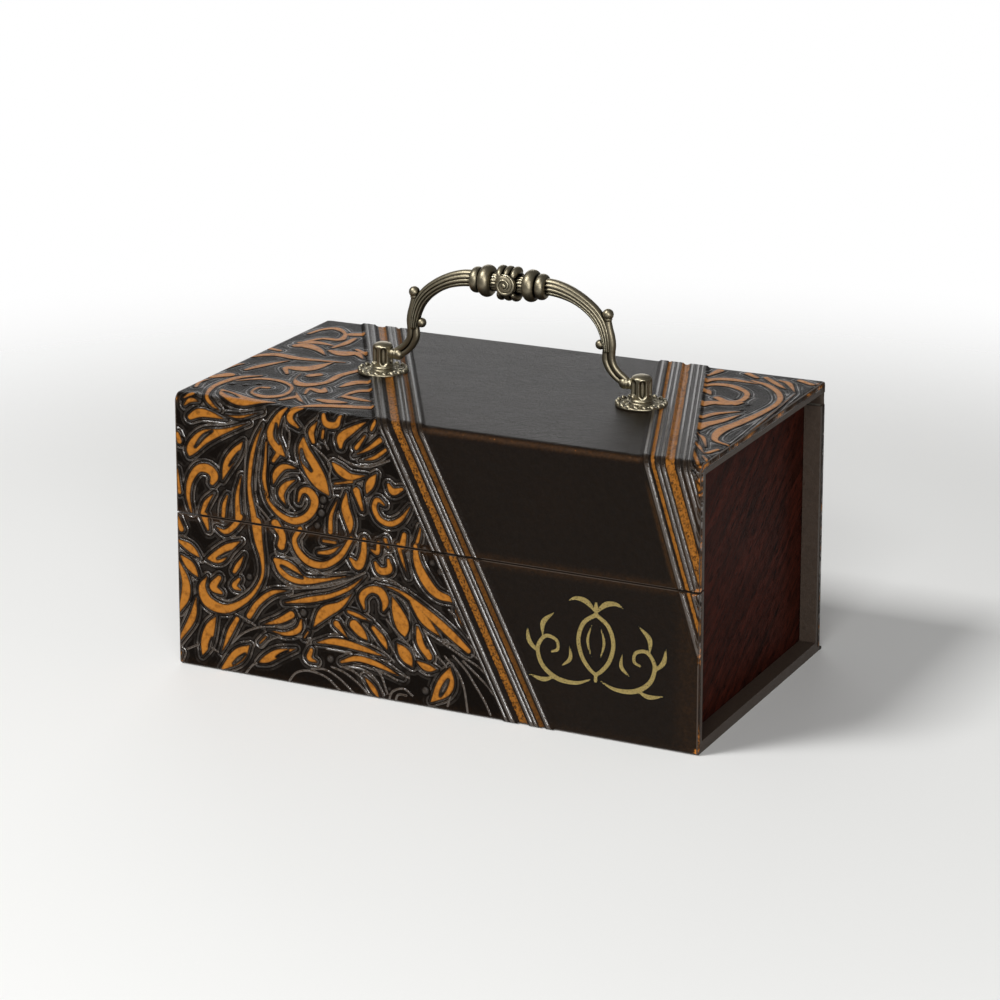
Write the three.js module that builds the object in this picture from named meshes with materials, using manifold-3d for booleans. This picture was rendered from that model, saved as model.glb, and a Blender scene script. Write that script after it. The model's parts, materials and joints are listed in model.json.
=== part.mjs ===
// Etrog box: a wooden box inside a case of leatherette-covered boards, with a lid that carries the
// upper front as a flap, and a cast bail handle between two fluted posts.
// Millimetres. +X runs to the right along the front, +Y to the back, +Z up.
// The origin is on the table, under the middle of the case.
import * as THREE from "three";
import { mergeVertices, toCreasedNormals } from "three/addons/utils/BufferGeometryUtils.js";
import Module from "manifold-3d";

const wasm = await Module();
wasm.setup();

// The case
const caseLength = 200;
const caseDepth = 116;
const caseHeight = 101;
const leatherThickness = 0.8;
const boardThickness = 2.4;
const frontHeight = 56.8;
const seamGap = 0.6;
const hingeGap = 4.5;
const lidEdgeRadius = 3;
const caseEdgeRadius = 1.6;
const turnIn = 6.2;
const edgeTurnIn = 10;

// The wooden box inside it
const endRecess = 6.5;
const panelThickness = 4;
const floorThickness = 3;
const lidClearance = 0.5;
const frontLip = 12;
const panelEdgeRound = 0.7;

// Clearances and the overrun of every cut
const seat = 0.3;
const overrun = 2;

// Padding
const liningThickness = 1.6;
const padThickness = 3.4;
const padMargin = 1.6;
const padCrown = 0.7;
const cushionHeight = 25;
const cushionCrown = 4;
const cushionCorner = 14;
const cushionWaist = 2.2;
const nestLength = 138;
const nestWidth = 74;
const nestDepth = 17;

const nestFlatShare = 1.5;
const cushionRingShares = [0.16, 0.32, 0.46, 0.58, 0.68, 0.78, 0.87, 0.94];
const cushionSideShares = [
  [0.25, 0.98],
  [0, 0.84],
  [0.45, 0.66],
  [1, 0.5],
  [0.45, 0.34],
  [0, 0.16],
  [0.25, 0.02],
];

// Magnets that hold the flap shut
const magnetDiameter = 7;
const magnetThickness = 1.5;
const magnetInset = 29.5;

// Raised ribs of the two diagonal bands, where the band crosses each edge of the case
const ribWidth = 1.4;
const ribHeight = 0.5;
const leftBandAtBack = -75;
const leftBandAtFront = -9.7;
const leftBandAtBase = 39.5;
const leftBandAtBackFoot = -119;
const leftBandWidth = 16;
const rightBandAtBack = 46;
const rightBandAtFront = 88;
const rightBandAtBase = 119;
const rightBandAtBackFoot = 8;
const rightBandWidth = 14;
const leftRibShares = [-0.425, -0.144, -0.038, 0.425];
const rightRibShares = [-0.25, -0.12, 0.27, 0.436];

// Handle fittings
const handleOffset = 3.5;
const postSpacing = 101;
const postDiameter = 7.1;
const postHeight = 9.2;
const postDome = 1.5;
const fluteCount = 6;
const fluteRadius = 2.1;
const fluteDepth = 0.75;
const fluteFoot = 1;
const fluteHead = 1.9;
const domeShares = [
  [1, 0],
  [0.92, 0.45],
  [0.64, 0.82],
  [0, 1],
];
const rosetteDiameter = 19.3;
const rosetteThickness = 2;
const rosetteWeb = 1.1;
const rosetteRim = 1.9;
const rosetteHubDiameter = 8.6;
const scallopCount = 18;
const scallopDepth = 0.6;
const piercingCount = 10;
const piercingLength = 2.5;
const piercingWidth = 2;
const screwDiameter = 3.8;
const screwHeadDiameter = 7.4;
const screwHeadHeight = 1.6;
const screwReach = 3;
const screwHeadShares = [
  [0, 0],
  [0.64, 0],
  [0.9, 0.25],
  [1, 0.6],
  [1, 1],
];
const washerDiameter = 9;
const washerThickness = 0.6;

// Bail handle, measured from its pivot axis
const pivotHeight = 7.3;
const bailRise = 31;
const pinDiameter = 2.4;
const pinReach = 2.6;
const bailCollarDiameter = 3.2;
const bailCollarWidth = 1;
const reedDepth = 2.1;
const rodRadius = 1.45;
const innerRodRadius = 1.3;
const finialRadius = 2.05;
const budRadius = 1.4;
const gripCoreRadius = 3.2;
const smallBeadRadius = 4.7;
const smallBeadWidth = 3.6;
const smallBeadPlace = 12.6;
const largeBeadRadius = 5.8;
const largeBeadWidth = 4.3;
const largeBeadPlace = 8.6;
const knuckleRadius = 4.9;
const knuckleLength = 9.6;
const lobeLength = 6.4;
const lobeThickness = 3;
const lobeSpacing = 2.9;
const lobeReach = 6.1;
const volutePitch = 2.7;
const voluteTurns = 1.4;
const voluteThickness = 1.5;

// Worked out from the sizes above
const halfLength = caseLength / 2;
const halfDepth = caseDepth / 2;
const wall = 2 * leatherThickness + boardThickness;
const boardBack = leatherThickness + boardThickness;
const lidUnderside = caseHeight - wall;
const hingeFoot = lidUnderside - hingeGap;
const flapFoot = frontHeight + seamGap;
const boxEnd = halfLength - endRecess;
const boxFront = -halfDepth + wall + seat;
const boxBack = halfDepth - boardBack;
const boxTop = caseHeight - boardBack - lidClearance;
const innerEnd = boxEnd - panelThickness;
const innerFront = boxFront + panelThickness;
const innerBack = boxBack - panelThickness;
const floorTop = boardBack + floorThickness;
const innerFrontTop = flapFoot + frontLip;
const lidBoardFoot = caseHeight - boardBack;
const padUnderside = lidBoardFoot - padThickness;
const liningTop = padUnderside - padMargin;
const pocketRadius = magnetDiameter / 2 + seat;
const magnetHeight = flapFoot + edgeTurnIn / 2;
const postRadius = postDiameter / 2;
const postFoot = caseHeight + rosetteThickness;
const halfSpan = postSpacing / 2;
const pivotZ = caseHeight + pivotHeight;
const screwRadius = screwDiameter / 2;

const axisX = new THREE.Vector3(1, 0, 0);
const axisY = new THREE.Vector3(0, 1, 0);
const axisZ = new THREE.Vector3(0, 0, 1);

const leatherette = { color: 0x2a221b, roughness: 0.45, metalness: 0 };
const greyBoard = { color: 0x8b8478, roughness: 0.95, metalness: 0 };
const mahogany = { color: 0x3a1712, roughness: 0.28, metalness: 0 };
const velvet = { color: 0x6b1f24, roughness: 0.9, metalness: 0 };
const antiqueBrass = { color: 0x7d7250, roughness: 0.38, metalness: 0.9 };
const steel = { color: 0x9a9a98, roughness: 0.4, metalness: 0.9 };

// Solids and meshes

// A closed geometry as a solid that can be joined and cut.
function solidOf(geometry) {
  const bare = geometry.clone();
  bare.deleteAttribute("normal");
  bare.deleteAttribute("uv");
  const merged = mergeVertices(bare, 1e-4);
  return new wasm.Manifold(
    new wasm.Mesh({
      numProp: 3,
      vertProperties: new Float32Array(merged.attributes.position.array),
      triVerts: new Uint32Array(merged.index.array),
    }),
  );
}

// A solid back as a geometry, with its sharp edges kept sharp.
function geometryOf(solid) {
  const mesh = solid.getMesh();
  const geometry = new THREE.BufferGeometry();
  geometry.setAttribute("position", new THREE.BufferAttribute(mesh.vertProperties, 3));
  geometry.setIndex(new THREE.BufferAttribute(mesh.triVerts, 1));
  return toCreasedNormals(geometry, Math.PI / 5);
}

function joined(solids) {
  return solids.reduce((whole, piece) => whole.add(piece));
}

function cutBy(solid, cutters) {
  return cutters.reduce((rest, cutter) => rest.subtract(cutter), solid);
}

function named(name, solid, finish) {
  const material = new THREE.MeshStandardMaterial(finish);
  const mesh = new THREE.Mesh(geometryOf(solid), material);
  mesh.name = name;
  return mesh;
}

// A box given by its two corners.
function block(x0, x1, y0, y1, z0, z1) {
  const box = new THREE.BoxGeometry(x1 - x0, y1 - y0, z1 - z0);
  box.translate((x0 + x1) / 2, (y0 + y1) / 2, (z0 + z1) / 2);
  return solidOf(box);
}

// A shape drawn in Y and Z, run along X.
function runAlongX(shape, x0, x1) {
  const run = new THREE.ExtrudeGeometry(shape, {
    depth: x1 - x0,
    bevelEnabled: false,
    curveSegments: 5,
  });
  run.applyMatrix4(new THREE.Matrix4().makeBasis(axisY, axisZ, axisX));
  run.translate(x0, 0, 0);
  return solidOf(run);
}

// An upright cylinder between two heights.
function upright(radius, x, y, z0, z1, sides = 24) {
  const rod = new THREE.CylinderGeometry(radius, radius, z1 - z0, sides);
  rod.rotateX(Math.PI / 2);
  rod.translate(x, y, (z0 + z1) / 2);
  return solidOf(rod);
}

// A cylinder along Y between two depths.
function acrossDepth(radius, x, z, y0, y1, sides = 24) {
  const rod = new THREE.CylinderGeometry(radius, radius, y1 - y0, sides);
  rod.translate(x, (y0 + y1) / 2, z);
  return solidOf(rod);
}

// A cylinder along X between two ends.
function alongX(radius, x0, x1, y, z, sides = 16) {
  const rod = new THREE.CylinderGeometry(radius, radius, x1 - x0, sides);
  rod.rotateZ(Math.PI / 2);
  rod.translate((x0 + x1) / 2, y, z);
  return solidOf(rod);
}

function ball(radius, x, y, z, across = 12, down = 8) {
  const sphere = new THREE.SphereGeometry(radius, across, down);
  sphere.translate(x, y, z);
  return solidOf(sphere);
}

// Cover and boards

// The lower case's form in Y and Z, drawn in by depth on its covered sides.
function lowerForm(depth, radius, top) {
  const side = halfDepth - depth;
  const r = Math.max(radius, leatherThickness / 4);
  const form = new THREE.Shape();
  form.moveTo(-side, top);
  form.lineTo(-side, depth + r);
  form.absarc(-side + r, depth + r, r, Math.PI, 1.5 * Math.PI, false);
  form.lineTo(side - r, depth);
  form.absarc(side - r, depth + r, r, 1.5 * Math.PI, 2 * Math.PI, false);
  form.lineTo(side, top);
  form.closePath();
  return form;
}

// The lid's form in Y and Z, down to the foot of its flap, drawn in by depth.
function lidForm(depth, frontRadius, backRadius, foot) {
  const side = halfDepth - depth;
  const top = caseHeight - depth;
  const rf = Math.max(frontRadius, leatherThickness / 4);
  const rb = Math.max(backRadius, leatherThickness / 4);
  const form = new THREE.Shape();
  form.moveTo(side, foot);
  form.lineTo(side, top - rb);
  form.absarc(side - rb, top - rb, rb, 0, Math.PI / 2, false);
  form.lineTo(-side + rf, top);
  form.absarc(-side + rf, top - rf, rf, Math.PI / 2, Math.PI, false);
  form.lineTo(-side, foot);
  form.closePath();
  return form;
}

// The sheet over the whole lower case: skin, end edges and the turned-in margins.
function lowerSheet() {
  const top = caseHeight;
  const skin = (depth) => lowerForm(depth, caseEdgeRadius - depth, top);
  const whole = runAlongX(skin(0), -halfLength, halfLength);
  const inner = halfLength - leatherThickness;
  const margin = halfLength - turnIn;
  const boards = runAlongX(skin(leatherThickness), -inner, inner).subtract(
    runAlongX(skin(boardBack), -halfLength - overrun, halfLength + overrun),
  );
  const hollow = runAlongX(skin(boardBack), -margin, margin);
  const recess = runAlongX(skin(wall), -halfLength - overrun, halfLength + overrun);
  return cutBy(whole, [boards, hollow, recess]);
}

// The sheet over the lid and its flap, made the same way.
function lidSheet() {
  const skin = (depth) => lidForm(depth, lidEdgeRadius - depth, caseEdgeRadius - depth, flapFoot - depth);
  const open = (depth, foot) => lidForm(depth, lidEdgeRadius - depth, caseEdgeRadius - depth, foot);
  const inner = halfLength - leatherThickness;
  const margin = halfLength - turnIn;
  const whole = runAlongX(skin(0), -halfLength, halfLength);
  const boards = runAlongX(open(leatherThickness, flapFoot + leatherThickness), -inner, inner).subtract(
    runAlongX(open(boardBack, flapFoot), -halfLength - overrun, halfLength + overrun),
  );
  const hollow = runAlongX(open(boardBack, flapFoot + edgeTurnIn), -margin, margin);
  const recess = runAlongX(open(wall, flapFoot - overrun), -halfLength - overrun, halfLength + overrun);
  const behind = block(
    -halfLength - overrun,
    halfLength + overrun,
    -halfDepth + wall,
    halfDepth + overrun,
    flapFoot - overrun,
    lidUnderside,
  );
  return cutBy(whole, [boards, hollow, recess, behind]);
}

// One raised rib between two points of a face. Its round back stands proud along outward.
function rib(from, to, outward) {
  const along = new THREE.Vector3().subVectors(to, from);
  const length = along.length();
  along.normalize();
  const across = new THREE.Vector3().crossVectors(along, outward);
  const bar = new THREE.CylinderGeometry(1, 1, length + 2 * ribWidth, 8);
  const place = new THREE.Matrix4().makeBasis(
    across.multiplyScalar(ribWidth / 2),
    along,
    outward.clone().multiplyScalar(ribHeight),
  );
  bar.applyMatrix4(place);
  const middle = new THREE.Vector3().addVectors(from, to).multiplyScalar(1 / 2);
  bar.translate(middle.x, middle.y, middle.z);
  return solidOf(bar);
}

// The ribs of both bands over one face, whose edges are crossed at the given places.
function bandRibs(edges, outward) {
  const bands = [
    { at: edges.left, width: leftBandWidth, side: -1, shares: leftRibShares },
    { at: edges.right, width: rightBandWidth, side: 1, shares: rightRibShares },
  ];
  return bands.flatMap(({ at, width, side, shares }) =>
    shares.map((share) => {
      const shift = side * share * width;
      const from = edges.start.clone();
      const to = edges.end.clone();
      from.x = at[0] + shift;
      to.x = at[1] + shift;
      return rib(from, to, outward);
    }),
  );
}

function topRibs() {
  return bandRibs(
    {
      start: new THREE.Vector3(0, halfDepth, caseHeight),
      end: new THREE.Vector3(0, -halfDepth, caseHeight),
      left: [leftBandAtBack, leftBandAtFront],
      right: [rightBandAtBack, rightBandAtFront],
    },
    axisZ,
  );
}

function frontRibs() {
  return bandRibs(
    {
      start: new THREE.Vector3(0, -halfDepth, caseHeight),
      end: new THREE.Vector3(0, -halfDepth, 0),
      left: [leftBandAtFront, leftBandAtBase],
      right: [rightBandAtFront, rightBandAtBase],
    },
    axisY.clone().negate(),
  );
}

function backRibs() {
  return bandRibs(
    {
      start: new THREE.Vector3(0, halfDepth, caseHeight),
      end: new THREE.Vector3(0, halfDepth, 0),
      left: [leftBandAtBack, leftBandAtBackFoot],
      right: [rightBandAtBack, rightBandAtBackFoot],
    },
    axisY,
  );
}

// The part of some ribs that lies in one stretch of the case.
function ribsWithin(ribs, y0, y1, z0, z1) {
  const reach = halfLength - leatherThickness;
  return joined(ribs).intersect(block(-reach, reach, y0, y1, z0, z1));
}

function frontCover() {
  const face = -halfDepth + wall;
  const skin = lowerSheet().intersect(
    block(-halfLength, halfLength, -halfDepth, face, caseEdgeRadius, frontHeight),
  );
  const fold = block(
    -halfLength,
    halfLength,
    -halfDepth,
    face,
    frontHeight - leatherThickness,
    frontHeight,
  );
  const tuck = block(
    -halfLength,
    halfLength,
    -halfDepth + boardBack,
    face,
    frontHeight - edgeTurnIn,
    frontHeight,
  );
  const inside = -halfDepth + leatherThickness;
  const ribs = ribsWithin(frontRibs(), -caseDepth, inside, caseEdgeRadius, frontHeight);
  return joined([skin, fold, tuck, ribs]);
}

function baseCover() {
  const side = halfDepth - wall;
  const flat = block(-halfLength, halfLength, -side, side, 0, wall);
  const corners = block(-halfLength, halfLength, -halfDepth, halfDepth, 0, caseEdgeRadius);
  return lowerSheet().intersect(flat.add(corners));
}

function backCover() {
  const face = halfDepth - wall;
  const skin = lowerSheet().intersect(
    block(-halfLength, halfLength, face, halfDepth, caseEdgeRadius, hingeFoot),
  );
  const ribs = ribsWithin(backRibs(), halfDepth - leatherThickness, caseDepth, caseEdgeRadius, hingeFoot);
  return skin.add(ribs);
}

function screwHoles(z0, z1, radius) {
  return [-halfSpan, halfSpan].map((x) => upright(radius, handleOffset + x, 0, z0, z1));
}

function lidCover() {
  const skinTop = caseHeight - leatherThickness;
  const top = ribsWithin(
    topRibs(),
    -halfDepth + lidEdgeRadius / 2,
    halfDepth - caseEdgeRadius,
    skinTop,
    caseHeight + wall,
  );
  const front = ribsWithin(
    frontRibs(),
    -caseDepth,
    -halfDepth + leatherThickness,
    flapFoot,
    caseHeight - lidEdgeRadius / 2,
  );
  const beds = screwHoles(caseHeight, caseHeight + wall, rosetteDiameter / 2 + seat);
  const holes = screwHoles(skinTop - overrun, caseHeight + overrun, screwRadius + seat);
  return cutBy(joined([lidSheet(), cutBy(top, beds), front]), holes);
}

function hingeStrip() {
  return block(
    -halfLength,
    halfLength,
    halfDepth - leatherThickness,
    halfDepth,
    hingeFoot + seat,
    lidUnderside - seat,
  );
}

// The boards of the lower case, between the skin and the wooden box.
function lowerBoards() {
  const end = halfLength - leatherThickness;
  const outer = lowerForm(leatherThickness, caseEdgeRadius, caseHeight);
  const hollow = lowerForm(boardBack, 0, caseHeight + overrun);
  return runAlongX(outer, -end, end).subtract(
    runAlongX(hollow, -halfLength, halfLength),
  );
}

function frontBoard() {
  const face = -halfDepth + boardBack;
  const region = block(-halfLength, halfLength, -halfDepth, face, 0, frontHeight - leatherThickness);
  return lowerBoards().intersect(region);
}

function backBoard() {
  const region = block(-halfLength, halfLength, halfDepth - boardBack, halfDepth, 0, hingeFoot);
  return lowerBoards().intersect(region);
}

function baseBoard() {
  const side = halfDepth - boardBack;
  return lowerBoards().intersect(block(-halfLength, halfLength, -side, side, 0, boardBack));
}

// The two boards of the lid as one form, before the fold parts them.
function lidBoards() {
  const end = halfLength - leatherThickness;
  const foot = flapFoot + leatherThickness;
  const outer = lidForm(leatherThickness, lidEdgeRadius, caseEdgeRadius, foot);
  return runAlongX(outer, -end, end);
}

function lidBoard() {
  const front = -halfDepth + boardBack;
  const region = block(
    -halfLength,
    halfLength,
    front,
    halfDepth,
    caseHeight - boardBack,
    caseHeight,
  );
  const board = lidBoards().intersect(region);
  return cutBy(board, screwHoles(lidUnderside, caseHeight, screwRadius + seat));
}

function flapBoard() {
  const face = -halfDepth + boardBack;
  const region = block(-halfLength, halfLength, -halfDepth, face, 0, caseHeight);
  const pockets = magnetPlaces().map((x) =>
    acrossDepth(pocketRadius, x, magnetHeight, face - magnetThickness - seat, face + overrun),
  );
  return cutBy(lidBoards().intersect(region), pockets);
}

function magnetPlaces() {
  return [magnetInset - innerEnd, innerEnd - magnetInset];
}

// The wooden box

// A panel in Y and Z with softened upper corners.
function endPanel(side) {
  const r = Math.min(panelEdgeRound, panelThickness / 2);
  const form = new THREE.Shape();
  form.moveTo(boxFront, boardBack);
  form.lineTo(boxBack, boardBack);
  form.lineTo(boxBack, boxTop - r);
  form.absarc(boxBack - r, boxTop - r, r, 0, Math.PI / 2, false);
  form.lineTo(boxFront + r, boxTop);
  form.absarc(boxFront + r, boxTop - r, r, Math.PI / 2, Math.PI, false);
  form.closePath();
  const near = Math.min(side * innerEnd, side * boxEnd);
  return runAlongX(form, near, near + panelThickness);
}

function innerFrontWall() {
  const plank = block(-innerEnd, innerEnd, boxFront, innerFront, boardBack, innerFrontTop);
  const pockets = magnetPlaces().map((x) =>
    acrossDepth(pocketRadius, x, magnetHeight, boxFront - overrun, boxFront + magnetThickness + 2 * seat),
  );
  return cutBy(plank, pockets);
}

function innerBackWall() {
  return block(-innerEnd, innerEnd, innerBack, boxBack, boardBack, boxTop);
}

function innerFloor() {
  return block(-innerEnd, innerEnd, innerFront, innerBack, boardBack, floorTop);
}

// A disc magnet whose outer face lies a seat below the face that its pocket opens on.
function magnet(x, face, inward) {
  const near = face + inward * seat;
  const far = near + inward * magnetThickness;
  const radius = magnetDiameter / 2;
  return acrossDepth(radius, x, magnetHeight, Math.min(near, far), Math.max(near, far));
}

// Padding

// A flat padded panel with a soft rim, lying in X and Y, from z0 up to z1.
function paddedPanel(width, depth, z0, z1, round) {
  const soft = Math.min(round, (z1 - z0) / 3);
  const w = width / 2 - soft;
  const d = depth / 2 - soft;
  const form = new THREE.Shape();
  form.moveTo(-w, -d);
  form.lineTo(w, -d);
  form.lineTo(w, d);
  form.lineTo(-w, d);
  form.closePath();
  const panel = new THREE.ExtrudeGeometry(form, {
    depth: z1 - z0 - 2 * soft,
    bevelThickness: soft,
    bevelSize: soft,
    bevelSegments: 3,
  });
  panel.translate(0, 0, z0 + soft);
  return panel;
}

// A lining on the front or back wall, from height foot up to height top.
function wallLining(y0, y1, foot, top) {
  const width = 2 * (innerEnd - seat);
  const panel = paddedPanel(width, top - foot, 0, y1 - y0, padCrown);
  panel.rotateX(Math.PI / 2);
  panel.translate(0, y1, (foot + top) / 2);
  return solidOf(panel);
}

// A lining on an end wall, between the front and back linings.
function endLining(side) {
  const front = innerFront + 2 * seat + liningThickness;
  const back = innerBack - 2 * seat - liningThickness;
  const height = liningTop - floorTop - seat;
  const panel = paddedPanel(back - front, height, 0, liningThickness, padCrown);
  panel.rotateX(Math.PI / 2);
  panel.rotateZ(Math.PI / 2);
  const inner = side * (innerEnd - seat);
  panel.translate(Math.min(inner, inner - side * liningThickness), 0, 0);
  panel.translate(0, (front + back) / 2, floorTop + seat + height / 2);
  return solidOf(panel);
}

// The padded panel under the lid, with room for the screw heads above it.
function lidPad() {
  const front = -halfDepth + boardBack + liningThickness + 2 * seat;
  const back = innerBack - padMargin;
  const top = lidBoardFoot - seat;
  const width = 2 * (innerEnd - padMargin);
  const panel = paddedPanel(width, back - front, padUnderside, top, padCrown);
  panel.translate(0, (front + back) / 2, 0);
  const room = washerThickness + screwHeadHeight + 2 * seat;
  const pockets = screwHoles(lidBoardFoot - room, caseHeight, washerDiameter / 2 + 2 * seat);
  return cutBy(solidOf(panel), pockets);
}

function flapLining() {
  const face = -halfDepth + boardBack + seat;
  const foot = innerFrontTop + seat;
  const top = padUnderside + padThickness - 2 * seat;
  const panel = paddedPanel(2 * (innerEnd - padMargin), top - foot, 0, liningThickness, padCrown);
  panel.rotateX(Math.PI / 2);
  panel.translate(0, face + liningThickness, (foot + top) / 2);
  return solidOf(panel);
}

// The cushion's rounded outline seen from above, drawn in all round by inset.
function cushionRim(halfX, halfY, inset) {
  const r = Math.min(cushionCorner, halfY - inset);
  const x = halfX - inset - r;
  const y = halfY - inset - r;
  const arcSteps = 4;
  const sideSteps = [6, 4];
  const points = [];
  [[x, y], [-x, y], [-x, -y], [x, -y]].forEach(([cx, cy], corner, centres) => {
    for (let i = 0; i <= arcSteps; i++) {
      const turn = (Math.PI / 2) * (corner + i / arcSteps);
      points.push(new THREE.Vector3(cx + r * Math.cos(turn), cy + r * Math.sin(turn), 0));
    }
    const turn = (Math.PI / 2) * (corner + 1);
    const [nx, ny] = centres[(corner + 1) % 4];
    const steps = sideSteps[corner % 2];
    for (let i = 1; i < steps; i++) {
      const ahead = i / steps;
      const along = new THREE.Vector3(cx + (nx - cx) * ahead, cy + (ny - cy) * ahead, 0);
      points.push(along.add(new THREE.Vector3(r * Math.cos(turn), r * Math.sin(turn), 0)));
    }
  });
  return points;
}

// Height of the cushion's upper face over its foot: a crown that falls to the rim, less the nest.
function cushionTop(x, y, share) {
  const crown = cushionCrown * (1 - share ** 4);
  const away = Math.hypot((2 * x) / nestLength, (2 * y) / nestWidth);
  const dip = away < 1 ? (nestDepth / 2) * (1 + Math.cos(Math.PI * away ** nestFlatShare)) : 0;
  return cushionHeight - cushionCrown + crown - dip;
}

// The bed for the fruit: a filled cushion with drawn-in sides, a crown and a long hollow.
function nestCushion() {
  const gap = liningThickness + 3 * seat;
  const halfX = innerEnd - gap;
  const halfY = (innerBack - innerFront) / 2 - gap;
  const middleY = (innerBack + innerFront) / 2;
  const foot = floorTop + seat;
  const rimHeight = cushionHeight - cushionCrown;
  const ring = (inset, scale, height) =>
    cushionRim(halfX, halfY, inset).map((rim) => {
      const x = rim.x * scale;
      const y = rim.y * scale;
      const up = height === null ? cushionTop(x, y, scale) : height;
      return new THREE.Vector3(x, middleY + y, foot + up);
    });
  const upper = cushionRingShares.map((share) => ring(0, share, null));
  const sides = cushionSideShares.map(([drawn, up]) => ring(drawn * cushionWaist, 1, up * rimHeight));
  return loft([...upper, ...sides, ring(cushionWaist, 1, 0)]);
}

// Handle fittings

// A post turned from bar, with vertical flutes, a blind hole for its screw and one for the pin.
function post(side) {
  const x = handleOffset + side * halfSpan;
  const top = postFoot + postHeight;
  const shoulder = top - postDome;
  const profile = [
    new THREE.Vector2(0, postFoot),
    new THREE.Vector2(postRadius, postFoot),
    ...domeShares.map(([out, up]) => new THREE.Vector2(out * postRadius, shoulder + up * postDome)),
  ];
  const turned = new THREE.LatheGeometry(profile, 24);
  turned.rotateX(Math.PI / 2);
  turned.translate(x, 0, 0);

  const cuts = [];
  for (let i = 0; i < fluteCount; i++) {
    const turn = (2 * Math.PI * i) / fluteCount;
    const out = postRadius + fluteRadius - fluteDepth;
    const length = postHeight - fluteFoot - fluteHead;
    const cutter = new THREE.CapsuleGeometry(fluteRadius, length - fluteRadius, 3, 10);
    cutter.rotateX(Math.PI / 2);
    const middle = postFoot + fluteFoot + length / 2;
    cutter.translate(x + out * Math.cos(turn), out * Math.sin(turn), middle);
    cuts.push(solidOf(cutter));
  }
  cuts.push(upright(screwRadius + seat, x, 0, postFoot - overrun, postFoot + screwReach + seat, 16));
  const hole = pinDiameter / 2 + seat;
  const inward = x - side * (postRadius + overrun);
  const blind = x - side * (postRadius - fluteDepth - pinReach - seat);
  cuts.push(alongX(hole, Math.min(inward, blind), Math.max(inward, blind), 0, pivotZ));
  return cutBy(solidOf(turned), cuts);
}

// A scalloped, pierced disc with a raised rim and hub.
function rosette(side) {
  const x = handleOffset + side * halfSpan;
  const radius = rosetteDiameter / 2;
  const bevel = rosetteThickness / 8;
  const outer = radius - bevel;
  const perScallop = 4;
  const edge = new THREE.Shape();
  for (let i = 0; i < scallopCount * perScallop; i++) {
    const turn = (2 * Math.PI * i) / (scallopCount * perScallop);
    const swell = Math.abs(Math.cos((scallopCount * turn) / 2));
    const r = outer - scallopDepth * (1 - swell);
    if (i === 0) edge.moveTo(r, 0);
    else edge.lineTo(r * Math.cos(turn), r * Math.sin(turn));
  }
  edge.closePath();
  const rim = solidOf(
    new THREE.ExtrudeGeometry(edge, {
      depth: rosetteThickness - 2 * bevel,
      bevelThickness: bevel,
      bevelSize: bevel,
      bevelSegments: 1,
    }).translate(0, 0, bevel),
  );
  const dish = upright(radius - rosetteRim, 0, 0, rosetteWeb, rosetteThickness + overrun, 30);
  const hub = upright(rosetteHubDiameter / 2, 0, 0, 0, rosetteThickness, 20);
  const bore = upright(screwRadius + seat, 0, 0, -overrun, rosetteThickness + overrun, 16);
  const holes = [];
  const middle = (radius - rosetteRim + rosetteHubDiameter / 2) / 2;
  for (let i = 0; i < piercingCount; i++) {
    const turn = (2 * Math.PI * (i + 0.5)) / piercingCount;
    const petal = new THREE.CylinderGeometry(1, 1, 2 * rosetteThickness, 8);
    petal.rotateX(Math.PI / 2);
    petal.scale(piercingLength / 2, piercingWidth / 2, 1);
    petal.rotateZ(turn + Math.PI / 6);
    petal.translate(middle * Math.cos(turn), middle * Math.sin(turn), 0);
    holes.push(solidOf(petal));
  }
  const disc = cutBy(rim.subtract(dish).add(hub), [bore, ...holes]);
  return disc.translate(x, 0, caseHeight);
}

function screw(side) {
  const x = handleOffset + side * halfSpan;
  const washerFoot = lidBoardFoot - washerThickness;
  const headFoot = washerFoot - screwHeadHeight;
  const head = screwHeadShares.map(
    ([out, up]) => new THREE.Vector2((out * screwHeadDiameter) / 2, headFoot + up * screwHeadHeight),
  );
  const shank = [
    new THREE.Vector2(screwRadius, washerFoot),
    new THREE.Vector2(screwRadius, postFoot + screwReach),
    new THREE.Vector2(0, postFoot + screwReach),
  ];
  const turned = new THREE.LatheGeometry([...head, ...shank], 16);
  turned.rotateX(Math.PI / 2);
  turned.translate(x, 0, 0);
  return solidOf(turned);
}

function washer(side) {
  const x = handleOffset + side * halfSpan;
  const top = lidBoardFoot;
  const disc = upright(washerDiameter / 2, x, 0, top - washerThickness, top, 20);
  return disc.subtract(upright(screwRadius + seat, x, 0, top - wall, top + overrun, 16));
}

// Bail handle

// A place on the bail in X and Z, from shares of its half span and its rise above the pivot.
function bailPoint([acrossShare, upShare]) {
  return new THREE.Vector3(acrossShare * halfSpan, 0, upShare * bailRise);
}

// A closed skin through rings of points, one ring per section.
function loft(rings) {
  const around = rings[0].length;
  const points = rings.flat();
  const faces = [];
  const last = rings.length - 1;
  for (let i = 0; i < around; i++) {
    const j = (i + 1) % around;
    for (let r = 0; r < last; r++) {
      const a = r * around;
      const b = a + around;
      faces.push(a + i, a + j, b + j);
      faces.push(a + i, b + j, b + i);
    }
  }
  const middleOf = (ring) =>
    ring.reduce((sum, p) => sum.add(p), new THREE.Vector3()).divideScalar(around);
  points.push(middleOf(rings[0]), middleOf(rings[last]));
  const first = points.length - 2;
  for (let i = 0; i < around; i++) {
    const j = (i + 1) % around;
    faces.push(first, j, i);
    faces.push(first + 1, last * around + i, last * around + j);
  }
  const skin = new THREE.BufferGeometry();
  skin.setAttribute(
    "position",
    new THREE.Float32BufferAttribute(points.flatMap((p) => p.toArray()), 3),
  );
  skin.setIndex(faces);
  const solid = solidOf(skin);
  return solid.volume() < 0 ? solidOf(flipped(skin)) : solid;
}

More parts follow.
